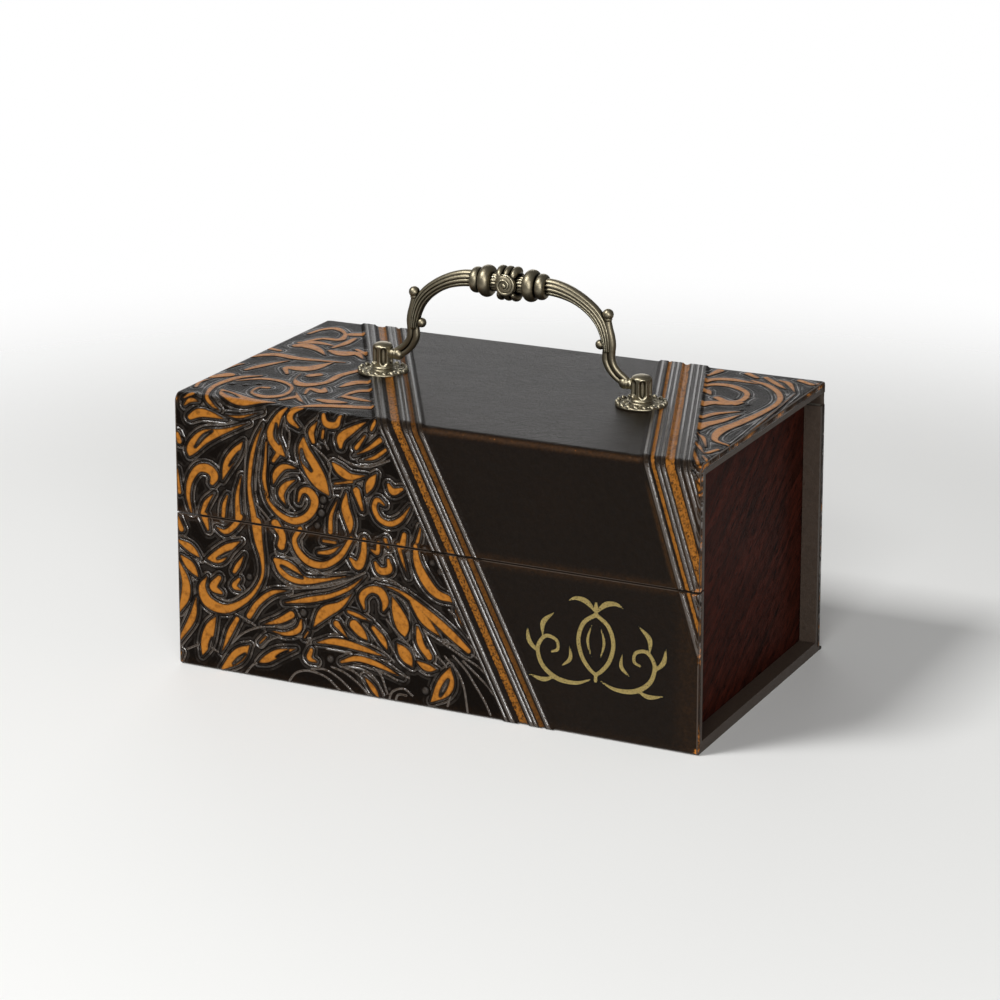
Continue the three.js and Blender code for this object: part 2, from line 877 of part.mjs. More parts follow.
function flipped(geometry) {
  const turned = geometry.clone();
  const index = turned.index.array;
  for (let i = 0; i < index.length; i += 3) {
    [index[i + 1], index[i + 2]] = [index[i + 2], index[i + 1]];
  }
  return turned;
}

// Sections set square to a smooth line through the points; section(t) gives the outline there.
function sweepInPlane(points, steps, section) {
  const line = new THREE.CatmullRomCurve3(points, false, "centripetal");
  const rings = [];
  for (let i = 0; i <= steps; i++) {
    const t = i / steps;
    const centre = line.getPointAt(t);
    const ahead = line.getTangentAt(t);
    const side = new THREE.Vector3(-ahead.z, 0, ahead.x);
    rings.push(
      section(t).map(([s, y]) =>
        centre.clone().addScaledVector(side, s).addScaledVector(axisY, y),
      ),
    );
  }
  return loft(rings);
}

// The value of a list of shares at t, on a straight run between its entries.
function between(shares, t) {
  const place = t * (shares.length - 1);
  const i = Math.min(Math.floor(place), shares.length - 2);
  return shares[i] + (shares[i + 1] - shares[i]) * (place - i);
}

// Outline of three reeds side by side, rounded front and back.
function reededOutline(halfWidth, depth) {
  const reeds = 3;
  const perReed = 4;
  const outline = [];
  for (const face of [-1, 1]) {
    for (let i = 0; i < reeds * perReed; i++) {
      const along = -1 + (2 * i) / (reeds * perReed);
      const swell = Math.abs(Math.sin((Math.PI * i) / perReed));
      const bow = Math.sqrt(1 - (along * reedBowShare) ** 2);
      const reed = 1 - reedGrooveShare * (1 - swell);
      outline.push([face * -along * halfWidth, face * depth * bow * reed]);
    }
  }
  return outline;
}

function roundOutline(radius, sides) {
  const outline = [];
  for (let i = 0; i < sides; i++) {
    const turn = (2 * Math.PI * i) / sides;
    outline.push([radius * Math.cos(turn), radius * Math.sin(turn)]);
  }
  return outline;
}

const archShares = [
  [0.27, 1.01],
  [0.345, 1.003],
  [0.42, 0.977],
  [0.497, 0.932],
  [0.572, 0.865],
  [0.642, 0.775],
  [0.693, 0.67],
  [0.722, 0.56],
  [0.738, 0.45],
  [0.745, 0.34],
];
const archWidthShares = [0.96, 0.96, 0.91, 0.83, 0.78, 0.77, 0.74, 0.66, 0.55, 0.4];
const reedBowShare = 0.88;
const reedGrooveShare = 0.4;
const outerRodShares = [
  [0.746, 0.77],
  [0.746, 0.69],
  [0.756, 0.6],
  [0.77, 0.51],
  [0.777, 0.42],
  [0.774, 0.33],
  [0.777, 0.25],
  [0.795, 0.177],
  [0.83, 0.11],
  [0.87, 0.06],
  [0.9, 0.02],
];
const innerRodShares = [
  [0.69, 0.412],
  [0.718, 0.42],
  [0.732, 0.365],
  [0.731, 0.3],
  [0.731, 0.24],
  [0.746, 0.175],
  [0.771, 0.11],
  [0.806, 0.052],
  [0.845, 0.01],
  [0.88, -0.015],
  [0.9, -0.02],
];
const beadShares = [
  [0, -0.5],
  [0.74, -0.5],
  [0.93, -0.34],
  [1, 0],
  [0.93, 0.34],
  [0.74, 0.5],
  [0, 0.5],
];

// One arm of the bail: a reeded arch that runs into two rods, with a finial and a bud.
function bailArm() {
  const arch = sweepInPlane(archShares.map(bailPoint), 12, (t) =>
    reededOutline(gripCoreRadius * between(archWidthShares, t), reedDepth),
  );
  const outerRod = sweepInPlane(outerRodShares.map(bailPoint), 13, () => roundOutline(rodRadius, 8));
  const innerRod = sweepInPlane(innerRodShares.map(bailPoint), 12, () =>
    roundOutline(innerRodRadius, 8),
  );
  const head = bailPoint(outerRodShares[0]);
  const bud = bailPoint(innerRodShares[0]);
  const finial = ball(finialRadius, head.x, 0, head.z, 10, 7);
  const berry = ball(budRadius, bud.x, 0, bud.z, 8, 6);
  return joined([arch, outerRod, innerRod, finial, berry]);
}

// The eye at the foot of an arm, its thin collar and the pin that turns in the post.
function bailFoot() {
  const face = halfSpan - postRadius + fluteDepth;
  const collarEnd = face - 1.5 * seat;
  const collarStart = collarEnd - bailCollarWidth;
  const eye = ball(rodRadius + innerRodRadius / 2, collarStart - rodRadius / 2, 0, 0, 12, 8);
  const collar = alongX(bailCollarDiameter / 2, collarStart - rodRadius, collarEnd, 0, 0, 16);
  const pin = alongX(pinDiameter / 2, collarStart, face + pinReach, 0, 0, 12);
  return joined([eye, collar, pin]);
}

// A rounded ring turned round the grip.
function gripBead(place, radius, width) {
  const profile = beadShares.map(([out, along]) => new THREE.Vector2(out * radius, along * width));
  const turned = new THREE.LatheGeometry(profile, 16);
  turned.rotateZ(-Math.PI / 2);
  turned.translate(place, 0, bailRise);
  return solidOf(turned);
}

// The knuckle in the middle of the grip: a swelling with rolls over and under it and scrolls.
function gripKnuckle() {
  const swelling = new THREE.SphereGeometry(1, 14, 9);
  swelling.scale(knuckleLength / 2, knuckleRadius, knuckleRadius);
  swelling.translate(0, 0, bailRise);
  const parts = [solidOf(swelling), volute(-1), volute(1)];
  for (const step of [-1, 0, 1]) {
    for (const side of [-1, 1]) {
      const roll = new THREE.SphereGeometry(1, 9, 6);
      roll.scale(lobeThickness / 2, lobeLength / 2, lobeThickness / 2);
      roll.translate(step * lobeSpacing, 0, bailRise + side * (lobeReach - lobeThickness / 2));
      parts.push(solidOf(roll));
    }
  }
  return joined(parts);
}

// A scroll that winds out over one face of the knuckle and follows its swelling.
function volute(face) {
  const steps = 18;
  const sides = 5;
  const points = [];
  for (let i = 0; i <= steps; i++) {
    const turns = (voluteTurns * i) / steps;
    const out = volutePitch * turns;
    const turn = 2 * Math.PI * turns;
    const proud = Math.sqrt(knuckleRadius ** 2 - out ** 2);
    points.push(
      new THREE.Vector3(out * Math.cos(turn), face * proud, bailRise + out * Math.sin(turn)),
    );
  }
  const line = new THREE.CatmullRomCurve3(points);
  const rings = points.map((_, i) => {
    const centre = line.getPointAt(i / steps);
    const ahead = line.getTangentAt(i / steps);
    const side = new THREE.Vector3().crossVectors(ahead, axisY).normalize();
    const lift = new THREE.Vector3().crossVectors(side, ahead).normalize();
    return roundOutline(voluteThickness / 2, sides).map(([s, u]) =>
      centre.clone().addScaledVector(side, s).addScaledVector(lift, u),
    );
  });
  return loft(rings);
}

function bail() {
  const half = joined([bailArm(), bailFoot()]);
  const otherHalf = half.mirror([1, 0, 0]);
  const beads = [-1, 1].flatMap((side) => [
    gripBead(side * smallBeadPlace, smallBeadRadius, smallBeadWidth),
    gripBead(side * largeBeadPlace, largeBeadRadius, largeBeadWidth),
  ]);
  const coreEnd = smallBeadPlace + smallBeadWidth / 2;
  const core = alongX(gripCoreRadius, -coreEnd, coreEnd, 0, bailRise, 16);
  return joined([half, otherHalf, core, ...beads, gripKnuckle()]);
}

// The whole box
const box = new THREE.Group();
box.name = "etrog_box";

const outerCase = new THREE.Group();
outerCase.add(
  named("base_board", baseBoard(), greyBoard),
  named("front_board", frontBoard(), greyBoard),
  named("back_board", backBoard(), greyBoard),
  named("base_cover", baseCover(), leatherette),
  named("front_cover", frontCover(), leatherette),
  named("back_cover", backCover(), leatherette),
  named("hinge_strip", hingeStrip(), leatherette),
);

const woodenBox = new THREE.Group();
woodenBox.add(
  named("end_panel_left", endPanel(-1), mahogany),
  named("end_panel_right", endPanel(1), mahogany),
  named("inner_front_wall", innerFrontWall(), mahogany),
  named("inner_back_wall", innerBackWall(), mahogany),
  named("inner_floor", innerFloor(), mahogany),
);

const padding = new THREE.Group();
padding.add(
  named("nest_cushion", nestCushion(), velvet),
  named(
    "lining_front",
    wallLining(innerFront + seat, innerFront + seat + liningThickness, floorTop + seat, innerFrontTop - seat),
    velvet,
  ),
  named(
    "lining_back",
    wallLining(innerBack - seat - liningThickness, innerBack - seat, floorTop + seat, liningTop),
    velvet,
  ),
  named("lining_left", endLining(-1), velvet),
  named("lining_right", endLining(1), velvet),
);

const lid = new THREE.Group();
lid.add(
  named("lid_board", lidBoard(), greyBoard),
  named("flap_board", flapBoard(), greyBoard),
  named("lid_cover", lidCover(), leatherette),
  named("lid_pad", lidPad(), velvet),
  named("flap_lining", flapLining(), velvet),
);

for (const [word, side] of [["left", -1], ["right", 1]]) {
  const x = side * (innerEnd - magnetInset);
  woodenBox.add(named("case_magnet_" + word, magnet(x, boxFront, 1), steel));
  lid.add(named("lid_magnet_" + word, magnet(x, -halfDepth + boardBack, -1), steel));
  lid.add(named("post_" + word, post(side), antiqueBrass));
  lid.add(named("rosette_" + word, rosette(side), antiqueBrass));
  lid.add(named("post_screw_" + word, screw(side), steel));
  lid.add(named("screw_washer_" + word, washer(side), steel));
}

const handle = new THREE.Group();
handle.position.set(handleOffset, 0, pivotZ);
handle.add(named("bail_handle", bail(), antiqueBrass));

box.add(outerCase, woodenBox, padding, lid, handle);

export default box;
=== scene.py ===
# Etrog box in antiqued, embossed leatherette over a mahogany box, with a cast brass bail handle.
# The CAD frame carries the solids; this script adds the embossed skins, cloth, fine brass work and looks.
import json
import math
from functools import partial

import bmesh
import bpy
import numpy as np
from mathutils import Matrix, Vector


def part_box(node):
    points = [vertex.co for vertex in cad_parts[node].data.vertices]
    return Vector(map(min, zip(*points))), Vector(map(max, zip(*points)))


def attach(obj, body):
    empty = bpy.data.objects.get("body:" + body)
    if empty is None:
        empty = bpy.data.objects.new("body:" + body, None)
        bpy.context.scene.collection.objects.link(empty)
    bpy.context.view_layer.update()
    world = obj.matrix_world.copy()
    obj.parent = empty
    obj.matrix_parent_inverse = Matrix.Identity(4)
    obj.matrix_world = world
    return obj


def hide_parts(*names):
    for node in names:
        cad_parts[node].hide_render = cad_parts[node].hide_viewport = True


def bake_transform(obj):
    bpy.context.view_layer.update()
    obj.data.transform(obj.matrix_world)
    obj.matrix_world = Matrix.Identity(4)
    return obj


mm = 0.001
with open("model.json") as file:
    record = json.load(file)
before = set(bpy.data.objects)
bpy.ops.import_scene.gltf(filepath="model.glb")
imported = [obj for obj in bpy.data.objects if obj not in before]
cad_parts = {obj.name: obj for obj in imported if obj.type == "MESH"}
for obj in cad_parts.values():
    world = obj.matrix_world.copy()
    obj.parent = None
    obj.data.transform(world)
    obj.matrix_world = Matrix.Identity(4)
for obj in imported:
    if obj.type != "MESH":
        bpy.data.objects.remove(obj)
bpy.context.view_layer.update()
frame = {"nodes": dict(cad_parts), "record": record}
nodes = frame["nodes"]
print("stage: frame loaded")

# Camera

# Read off the photograph: the seven corners of the case fix the direction, the distance and the lens.
view = {
    "turn": 28.6, "tilt": 12.828, "roll": -0.6673, "distance": 1.24851, "aside": 0.067674, "up": -0.156193,
    "lens": 124.413, "film": 36, "shiftX": 0.1867, "shiftY": -0.2757, "near": 0.05, "far": 50,
}


def placeCamera():
    turn, tilt, roll = (math.radians(view[key]) for key in ("turn", "tilt", "roll"))
    back = Vector((math.sin(turn) * math.cos(tilt), -math.cos(turn) * math.cos(tilt), math.sin(tilt)))
    level = Vector((math.cos(turn), math.sin(turn), 0))
    upward = back.cross(level)
    right = math.cos(roll) * level + math.sin(roll) * upward
    up = math.cos(roll) * upward - math.sin(roll) * level
    data = bpy.data.cameras.new("camera")
    data.sensor_width, data.lens = view["film"], view["lens"]
    data.shift_x, data.shift_y = view["shiftX"], view["shiftY"]
    data.clip_start, data.clip_end = view["near"], view["far"]
    camera = bpy.data.objects.new("camera", data)
    place = back * view["distance"] - right * view["aside"] - up * view["up"]
    camera.matrix_world = Matrix.Translation(place) @ Matrix((right, up, back)).transposed().to_4x4()
    bpy.context.scene.collection.objects.link(camera)
    bpy.context.scene.camera = camera


placeCamera()

# Materials


def linear(colour):
    channels = [int(colour[i:i + 2], 16) / 255 for i in (1, 3, 5)]
    return [c / 12.92 if c <= 0.04045 else ((c + 0.055) / 1.055) ** 2.4 for c in channels] + [1]


def addNode(tree, kind, inputs=None, **settings):
    # A node given as an input stands for the first of its outputs that is in use.
    added = tree.nodes.new(kind)
    for key, value in settings.items():
        setattr(added, key, value)
    for key, value in (inputs or {}).items():
        if isinstance(value, bpy.types.Node):
            value = next(output for output in value.outputs if output.enabled)
        if isinstance(value, bpy.types.NodeSocket):
            tree.links.new(value, added.inputs[key])
        else:
            added.inputs[key].default_value = value
    return added


def newMaterial(name):
    material = bpy.data.materials.new(name)
    material.use_nodes = True
    material.node_tree.nodes.clear()
    node = partial(addNode, material.node_tree)
    # Millimetres of the row frame, so every pattern scale below is one per millimetre.
    place = node("ShaderNodeTexCoord").outputs["Object"]
    grid = node("ShaderNodeVectorMath", {0: place, "Scale": 1 / mm}, operation="SCALE")
    return material, node, grid


def finished(material, node, looks):
    surface = node("ShaderNodeBsdfPrincipled", looks)
    node("ShaderNodeOutputMaterial", {"Surface": surface})
    return material


# Leatherette: a black-brown antiqued sheet, embossed, with caramel inlays rubbed bright under a clear coat.
leather = {
    "ground": linear("#0f0c0a"), "groundWarm": linear("#1d140c"), "hollow": linear("#050302"),
    "wash": linear("#3d2712"), "caramel": linear("#ab6d26"), "caramelDeep": linear("#835018"),
    "rim": linear("#2c1a0b"), "crest": linear("#3f3020"), "rubbed": linear("#c47a32"),
    "foil": linear("#a3905a"), "foilEdge": linear("#0f0c0a"),
    # The shoulder of each inlay and the raised lines round it: distance out, half width, height and polish.
    "lines": ((0.2, 0.3, 0.0, 0.5), (1.25, 0.46, 0.34, 1.0), (2.45, 0.42, 0.1, 0.15)),
    # Heights in millimetres; a rib's is a share of its width.
    "plateauHeight": 0.34, "berryHeight": 0.42, "lineHeight": 0.37, "ribHeight": 0.365, "stripeHeight": 0.06,
    "foilHeight": -0.3, "cellHeight": 0.05, "poreHeight": 0.06, "wrinkleHeight": 0.3, "slackHeight": 0.4,
    "lineHalf": 0.5, "stripeEdge": 0.14, "ragged": 1.9, "sharpness": 3, "berryShine": 0.45, "topShine": 0.38,
    "hollowShade": 0.6, "crestShade": 0.8, "foilMetal": 0.6, "grainWorn": 0.85, "index": 2.2,
    # Gloss, coat and roughness; the ornament's are added to the ground's.
    "crestGloss": 0.3, "inlayGloss": 0.02, "groundGloss": 0.012, "ornamentGloss": -0.006, "groundCoat": 0.065,
    "ornamentCoat": -0.035, "coatRoughness": 0.3, "gloss": {"To Min": 0.36, "To Max": 0.13},
    "poreRoughness": 0.04,
    "grain": 2.1, "grainEdge": 0.16, "bend": {"Scale": 0.35, "Detail": 2}, "bendReach": (2.2, 2.2, 2.2),
    "wrinkle": {"Scale": 0.62, "Detail": 5, "Roughness": 0.62},
}
leatherPatterns = {
    "pores": {"Scale": 4.5, "Detail": 4}, "slack": {"Scale": 0.06, "Detail": 2},
    "blotch": {"Scale": 0.5, "Detail": 5, "Roughness": 0.6}, "handled": {"Scale": 0.17, "Detail": 3},
    "beads": {"Scale": 1.1, "Detail": 6, "Roughness": 0.75},
    "broken": {"Scale": 0.9, "Detail": 6, "Roughness": 0.7},
}
# Soft steps: what each reads, where it starts and ends, and its value at either end.
leatherSteps = {
    "cells": ("pebble", 0, leather["grainEdge"], 0, 1), "inlaid": ("inlay", -0.01, -0.29, 0, 1),
    "deep": ("inlay", -0.05, -0.75, 0, 1), "plateau": ("inlay", 0.42, -0.2, 0, leather["plateauHeight"]),
    "polish": ("handled", 0.44, 0.58, 0.25, 1), "free": ("nearMark", 0.35, 0.75, 0, 1),
    "outside": ("inlay", 0.2, 0.6, 0, 1), "dome": ("berry", 0.1, -1.1, 0, 1),
    "facing": ("upward", 100.6, 97.5, leather["topShine"], 1), "mottled": ("blotch", 0.3, 0.55, 0, 1),
    "beaded": ("beads", 0.46, 0.6, 0, 1), "washed": ("wear", 0.07, 0.42, 0, 1),
    "tan": ("wear", 0.36, 0.5, 0, 1),
    "foilRim": ("foil", 0.7, 0.2, 0, 1), "foilFace": ("foil", 0.1, -0.1, 0, 1),
    "foilSunk": ("foil", 0.25, -0.15, 0, leather["foilHeight"]), "taken": ("pores", 0.34, 0.44, 0, 1),
}
# Layers of colour: the name, the field that says where, the colour below and the colour above.
leatherLayers = (
    ("caramel", "mottled", "caramelDeep", "caramel"), ("caramel", "filled", "rim", "caramel"),
    ("caramel", "blackened", "caramel", "rim"), ("ground", "blotch", "ground", "groundWarm"),
    ("ground", "low", "ground", "hollow"), ("ground", "high", "ground", "crest"),
    ("ground", "washed", "ground", "wash"), ("colour", "inside", "ground", "caramel"),
    ("colour", "tan", "colour", "rubbed"), ("colour", "foilRim", "colour", "foilEdge"),
    ("colour", "stamped", "colour", "foil"),
)

# Two slanting bands cross the sheet. Places are measured across each band from its middle, outward positive.
# Ribs give place and width; stripes give place, width, speckle and how much caramel is left.
bands = {
    "leftBand": {
        "outward": -1, "front": -9.7, "foot": 39.5, "back": -75, "backFoot": -119, "border": 9.9,
        "ribs": [(-6.8, 1.7), (-2.3, 1.3), (-0.6, 1.6), (6.8, 1.9), (9.1, 1.1)],
        "stripes": [(-4.3, 1.7, 0.5, 0.3), (2.5, 3.1, 1.0, 0.75)],
    },
    "rightBand": {
        "outward": 1, "front": 88, "foot": 119, "back": 46, "backFoot": 8, "border": 8.5,
        "ribs": [(-7.6, 1.9), (-3.5, 1.5), (-1.7, 1.5), (3.8, 1.6), (6.1, 1.5), (7.7, 1.0)],
        "stripes": [(-5.3, 1.3, 0.5, 0.8), (0.9, 3.1, 0.9, 0.85)],
    },
}


def pebbledGrain(node, grid):
    warp = node("ShaderNodeTexNoise", {"Vector": grid, **leather["bend"]}).outputs["Color"]
    bent = node("ShaderNodeVectorMath", {0: warp, 1: leather["bendReach"], 2: grid}, operation="MULTIPLY_ADD")
    pebble = node("ShaderNodeTexVoronoi", {"Vector": bent, "Scale": leather["grain"]},
                  feature="DISTANCE_TO_EDGE")
    return bent, pebble


def embossedLeatherette():
    material, node, grid = newMaterial("embossed leatherette")
    field = {name: node("ShaderNodeAttribute", attribute_name=name).outputs["Fac"]
             for name in ("inlay", "ornament", "line", "berry", "leftBand", "rightBand", "worn", "foil")}
    for name, pattern in leatherPatterns.items():
        field[name] = node("ShaderNodeTexNoise", {"Vector": grid, **pattern})
    # Pebbled grain over the whole sheet, with slack wrinkles that show in the plain fields.
    bent, field["pebble"] = pebbledGrain(node, grid)
    field["wrinkle"] = node("ShaderNodeTexNoise", {"Vector": bent, **leather["wrinkle"]})
    field["nearMark"] = node("ShaderNodeMath", {0: field["berry"], 1: field["line"]}, operation="MINIMUM")
    field["wear"] = node("ShaderNodeMath", {0: field["worn"], 1: field["broken"]}, operation="MULTIPLY")
    # The front is polished by hands; the top has stayed duller.
    field["upward"] = node("ShaderNodeSeparateXYZ", {0: grid}).outputs["Z"]
    for name, (source, start, end, low, high) in leatherSteps.items():
        span = {"From Min": start, "From Max": end, "To Min": low, "To Max": high}
        field[name] = node("ShaderNodeMapRange", {"Value": field[source], **span},
                           interpolation_type="SMOOTHSTEP")
    for name in ("inlaid", "plateau", "dome"):
        field[name] = node("ShaderNodeMath", {0: field[name], 1: field["ornament"]}, operation="MULTIPLY")

    # Ridges: what each follows, how far out, half width, height, polish, where hands reach it, what hides it
    # and how it joins. The bands' ribs are ridges too. The mesh keeps distances, so every edge is crisp.
    ridges = [("inlay", *row, field["polish"], ("ornament", "free"), "ADD") for row in leather["lines"]]
    ridges += [(name, place, width / 2, leather["ribHeight"] * width, 1.0, 1.0, (), "ADD")
               for name, band in bands.items() for place, width in band["ribs"]]
    ridges.append(("line", 0.0, leather["lineHalf"], leather["lineHeight"], 1.0, 1.0, ("ornament", "outside"),
                   "MAXIMUM"))
    shine, raised = 0.0, field["plateau"]
    for source, place, half, tall, most, reached, masks, join in ridges:
        away = node("ShaderNodeMath", {0: field[source], 1: place}, operation="SUBTRACT")
        away = node("ShaderNodeMath", {0: away}, operation="ABSOLUTE")
        ridge = node("ShaderNodeMapRange", {"Value": away, "From Min": half, "From Max": 0.0})
        for mask in masks:
            ridge = node("ShaderNodeMath", {0: ridge, 1: field[mask]}, operation="MULTIPLY")
        polish = node("ShaderNodeMath", {0: ridge, 1: leather["sharpness"]}, operation="MULTIPLY")
        polish = node("ShaderNodeMath", {0: polish, 1: most}, operation="MINIMUM")
        polish = node("ShaderNodeMath", {0: polish, 1: reached}, operation="MULTIPLY")
        shine = node("ShaderNodeMath", {0: shine, 1: polish}, operation="MAXIMUM")
        ridge = node("ShaderNodeMath", {0: ridge, 1: tall}, operation="MULTIPLY")
        raised = node("ShaderNodeMath", {0: raised, 1: ridge}, operation=join)
    for share in ("berryShine", "berryHeight"):
        field[share] = node("ShaderNodeMath", {0: field["dome"], 1: leather[share]}, operation="MULTIPLY")
    raised = node("ShaderNodeMath", {0: raised, 1: field["berryHeight"]}, operation="MAXIMUM")
    shine = node("ShaderNodeMath", {0: shine, 1: field["berryShine"]}, operation="MAXIMUM")
    shine = node("ShaderNodeMath", {0: shine, 1: field["facing"]}, operation="MULTIPLY")

    # Caramel stripes with ragged edges, speckled where the brown wash beaded.
    ragged = node("ShaderNodeMath", {0: field["beads"], 1: leather["ragged"], 2: -leather["ragged"] / 2},
                  operation="MULTIPLY_ADD")
    stripes, faded, speckled = 0.0, 1.0, 0.0
    for name, band in bands.items():
        for place, width, speckle, left in band["stripes"]:
            edge = node("ShaderNodeMath", {0: ragged, 1: speckle, 2: field[name]}, operation="MULTIPLY_ADD")
            edge = node("ShaderNodeMath", {0: edge, 1: place}, operation="SUBTRACT")
            edge = node("ShaderNodeMath", {0: edge}, operation="ABSOLUTE")
            outer, inner = width / 2 + leather["stripeEdge"], width / 2 - leather["stripeEdge"]
            stripe = node("ShaderNodeMapRange", {"Value": edge, "From Min": outer, "From Max": inner},
                          interpolation_type="SMOOTHSTEP")
            stripes = node("ShaderNodeMath", {0: stripes, 1: stripe}, operation="MAXIMUM")
            shares = ((speckle, speckled), (left - 1, faded), (leather["stripeHeight"], raised))
            speckled, faded, raised = (
                node("ShaderNodeMath", {0: stripe, 1: share, 2: total}, operation="MULTIPLY_ADD")
                for share, total in shares
            )

    # Where each layer of colour lies, worked out from the fields.
    for name, operation, first, second in (
        ("filled", "MAXIMUM", field["deep"], stripes), ("blackened", "MULTIPLY", field["beaded"], speckled),
        ("low", "MULTIPLY", field["ornament"], leather["hollowShade"]),
        ("high", "MULTIPLY", shine, leather["crestShade"]),
        ("stamped", "MULTIPLY", field["foilFace"], field["taken"]),
        ("inside", "MAXIMUM", field["inlaid"], stripes),
    ):
        field[name] = node("ShaderNodeMath", {0: first, 1: second}, operation=operation)
    field["inside"] = node("ShaderNodeMath", {0: field["inside"], 1: faded}, operation="MULTIPLY")
    colours = dict(leather)
    for name, amount, below, above in leatherLayers:
        colours[name] = node("ShaderNodeMix", {0: field[amount], 6: colours[below], 7: colours[above]},
                             data_type="RGBA")

    # Crests are polished by handling and catch the light; hollows stay black.
    gloss, coat = (
        node("ShaderNodeMath", {0: field["ornament"], 1: leather[more], 2: leather[base]},
             operation="MULTIPLY_ADD")
        for more, base in (("ornamentGloss", "groundGloss"), ("ornamentCoat", "groundCoat"))
    )
    for mask, share in ((shine, "crestGloss"), (field["inside"], "inlayGloss")):
        mask = node("ShaderNodeMath", {0: mask, 1: leather[share]}, operation="MULTIPLY")
        gloss = node("ShaderNodeMath", {0: gloss, 1: mask}, operation="MAXIMUM")
    rough = node("ShaderNodeMapRange", {"Value": shine, **leather["gloss"]})
    rough = node("ShaderNodeMath", {0: field["pores"], 1: leather["poreRoughness"], 2: rough},
                 operation="MULTIPLY_ADD")
    metal = node("ShaderNodeMath", {0: field["stamped"], 1: leather["foilMetal"]}, operation="MULTIPLY")

    # Relief in millimetres: the lines, the sunk foil, then the grain, which is worn off the crests.
    height = node("ShaderNodeMath", {0: raised, 1: field["foilSunk"]}, operation="ADD")
    plain = node("ShaderNodeMath", {0: shine, 1: -leather["grainWorn"], 2: 1.0}, operation="MULTIPLY_ADD")
    for pattern, tall in (("cells", "cellHeight"), ("pores", "poreHeight"), ("wrinkle", "wrinkleHeight")):
        grain = node("ShaderNodeMath", {0: field[pattern], 1: plain}, operation="MULTIPLY")
        height = node("ShaderNodeMath", {0: grain, 1: leather[tall], 2: height}, operation="MULTIPLY_ADD")
    height = node("ShaderNodeMath", {0: field["slack"], 1: leather["slackHeight"], 2: height},
                  operation="MULTIPLY_ADD")
    bump = node("ShaderNodeBump", {"Height": height, "Strength": 1.0, "Distance": mm})
    return finished(material, node, {
        "Base Color": colours["colour"], "Metallic": metal, "Roughness": rough, "IOR": leather["index"],
        "Specular IOR Level": gloss, "Coat Weight": coat, "Coat Roughness": leather["coatRoughness"],
        "Normal": bump, "Coat Normal": bump})


plainSheet = {
    # Both colours carry painted sheen: they are lighter than the sheet's own near-black.
    "dark": linear("#352c25"), "pale": linear("#51443a"), "rubbed": {"From Min": 0.62, "From Max": 0.74},
    "wrinkle": {"Scale": 0.5, "Detail": 6, "Roughness": 0.65}, "wrinkleHeight": 0.2, "shine": 0.25,
    "cells": {"From Max": leather["grainEdge"], "To Max": 0.035}, "gloss": {"To Min": 0.36, "To Max": 0.56},
    "relief": {"Strength": 0.9, "Distance": mm},
}


def plainLeatherette():
    # The turn-ins, the base and the hinge: the same sheet unembossed, a little browner on its wrinkles; its
    # colours are lighter than the embossed sheet's ground, with painted sheen in them.
    material, node, grid = newMaterial("plain leatherette")
    bent, pebble = pebbledGrain(node, grid)
    wrinkle = node("ShaderNodeTexNoise", {"Vector": bent, **plainSheet["wrinkle"]})
    rubbed = node("ShaderNodeMapRange", {"Value": wrinkle, **plainSheet["rubbed"]})
    colour = node("ShaderNodeMix", {0: wrinkle, 6: plainSheet["dark"], 7: plainSheet["pale"]},
                  data_type="RGBA")
    colour = node("ShaderNodeMix", {0: rubbed, 6: colour, 7: leather["rim"]}, data_type="RGBA")
    rough = node("ShaderNodeMapRange", {"Value": wrinkle, **plainSheet["gloss"]})
    cells = node("ShaderNodeMapRange", {"Value": pebble, **plainSheet["cells"]})
    height = node("ShaderNodeMath", {0: wrinkle, 1: plainSheet["wrinkleHeight"], 2: cells},
                  operation="MULTIPLY_ADD")
    bump = node("ShaderNodeBump", {"Height": height, **plainSheet["relief"]})
    return finished(material, node, {"Base Color": colour, "Roughness": rough, "Normal": bump,
                                     "Specular IOR Level": plainSheet["shine"]})


# Mahogany veneer: dark red-brown, its figure running up across the panel, under a thin satin varnish.
wood = {
    "dark": linear("#26120d"), "red": linear("#4a2017"), "pore": linear("#0f0605"),
    "slant": 33, "stretch": 10, "bend": (5, 2, 5), "drift": {"Scale": 0.03, "Detail": 3},
    "figure": {"Scale": 0.3, "Detail": 6, "Roughness": 0.6}, "tone": {"From Min": 0.32, "From Max": 0.68},
    "fibre": {"Scale": 1.7, "Detail": 5, "Roughness": 0.65}, "pores": {"From Min": 0.38, "From Max": 0.5},
    "gloss": {"To Min": 0.26, "To Max": 0.42}, "shine": 0.008,
    "relief": {"Strength": 0.5, "Distance": 0.06 * mm},
}


def mahogany():
    material, node, grid = newMaterial("mahogany veneer")
    slant = (math.radians(wood["slant"]), 0, 0)
    along = node("ShaderNodeMapping", {"Vector": grid, "Rotation": slant, "Scale": (1, wood["stretch"], 1)},
                 vector_type="TEXTURE")
    drift = node("ShaderNodeTexNoise", {"Vector": grid, **wood["drift"]}).outputs["Color"]
    bent = node("ShaderNodeVectorMath", {0: drift, 1: wood["bend"], 2: along}, operation="MULTIPLY_ADD")
    figure = node("ShaderNodeTexNoise", {"Vector": bent, **wood["figure"]})
    fibre = node("ShaderNodeTexNoise", {"Vector": along, **wood["fibre"]})
    pores = node("ShaderNodeMapRange", {"Value": fibre, **wood["pores"]})
    tone = node("ShaderNodeMapRange", {"Value": figure, **wood["tone"]})
    colour = node("ShaderNodeMix", {0: tone, 6: wood["dark"], 7: wood["red"]}, data_type="RGBA")
    colour = node("ShaderNodeMix", {0: pores, 6: wood["pore"], 7: colour}, data_type="RGBA")
    rough = node("ShaderNodeMapRange", {"Value": fibre, **wood["gloss"]})
    bump = node("ShaderNodeBump", {"Height": pores, **wood["relief"]})
    return finished(material, node, {"Base Color": colour, "Roughness": rough, "Normal": bump,
                                     "Specular IOR Level": wood["shine"]})


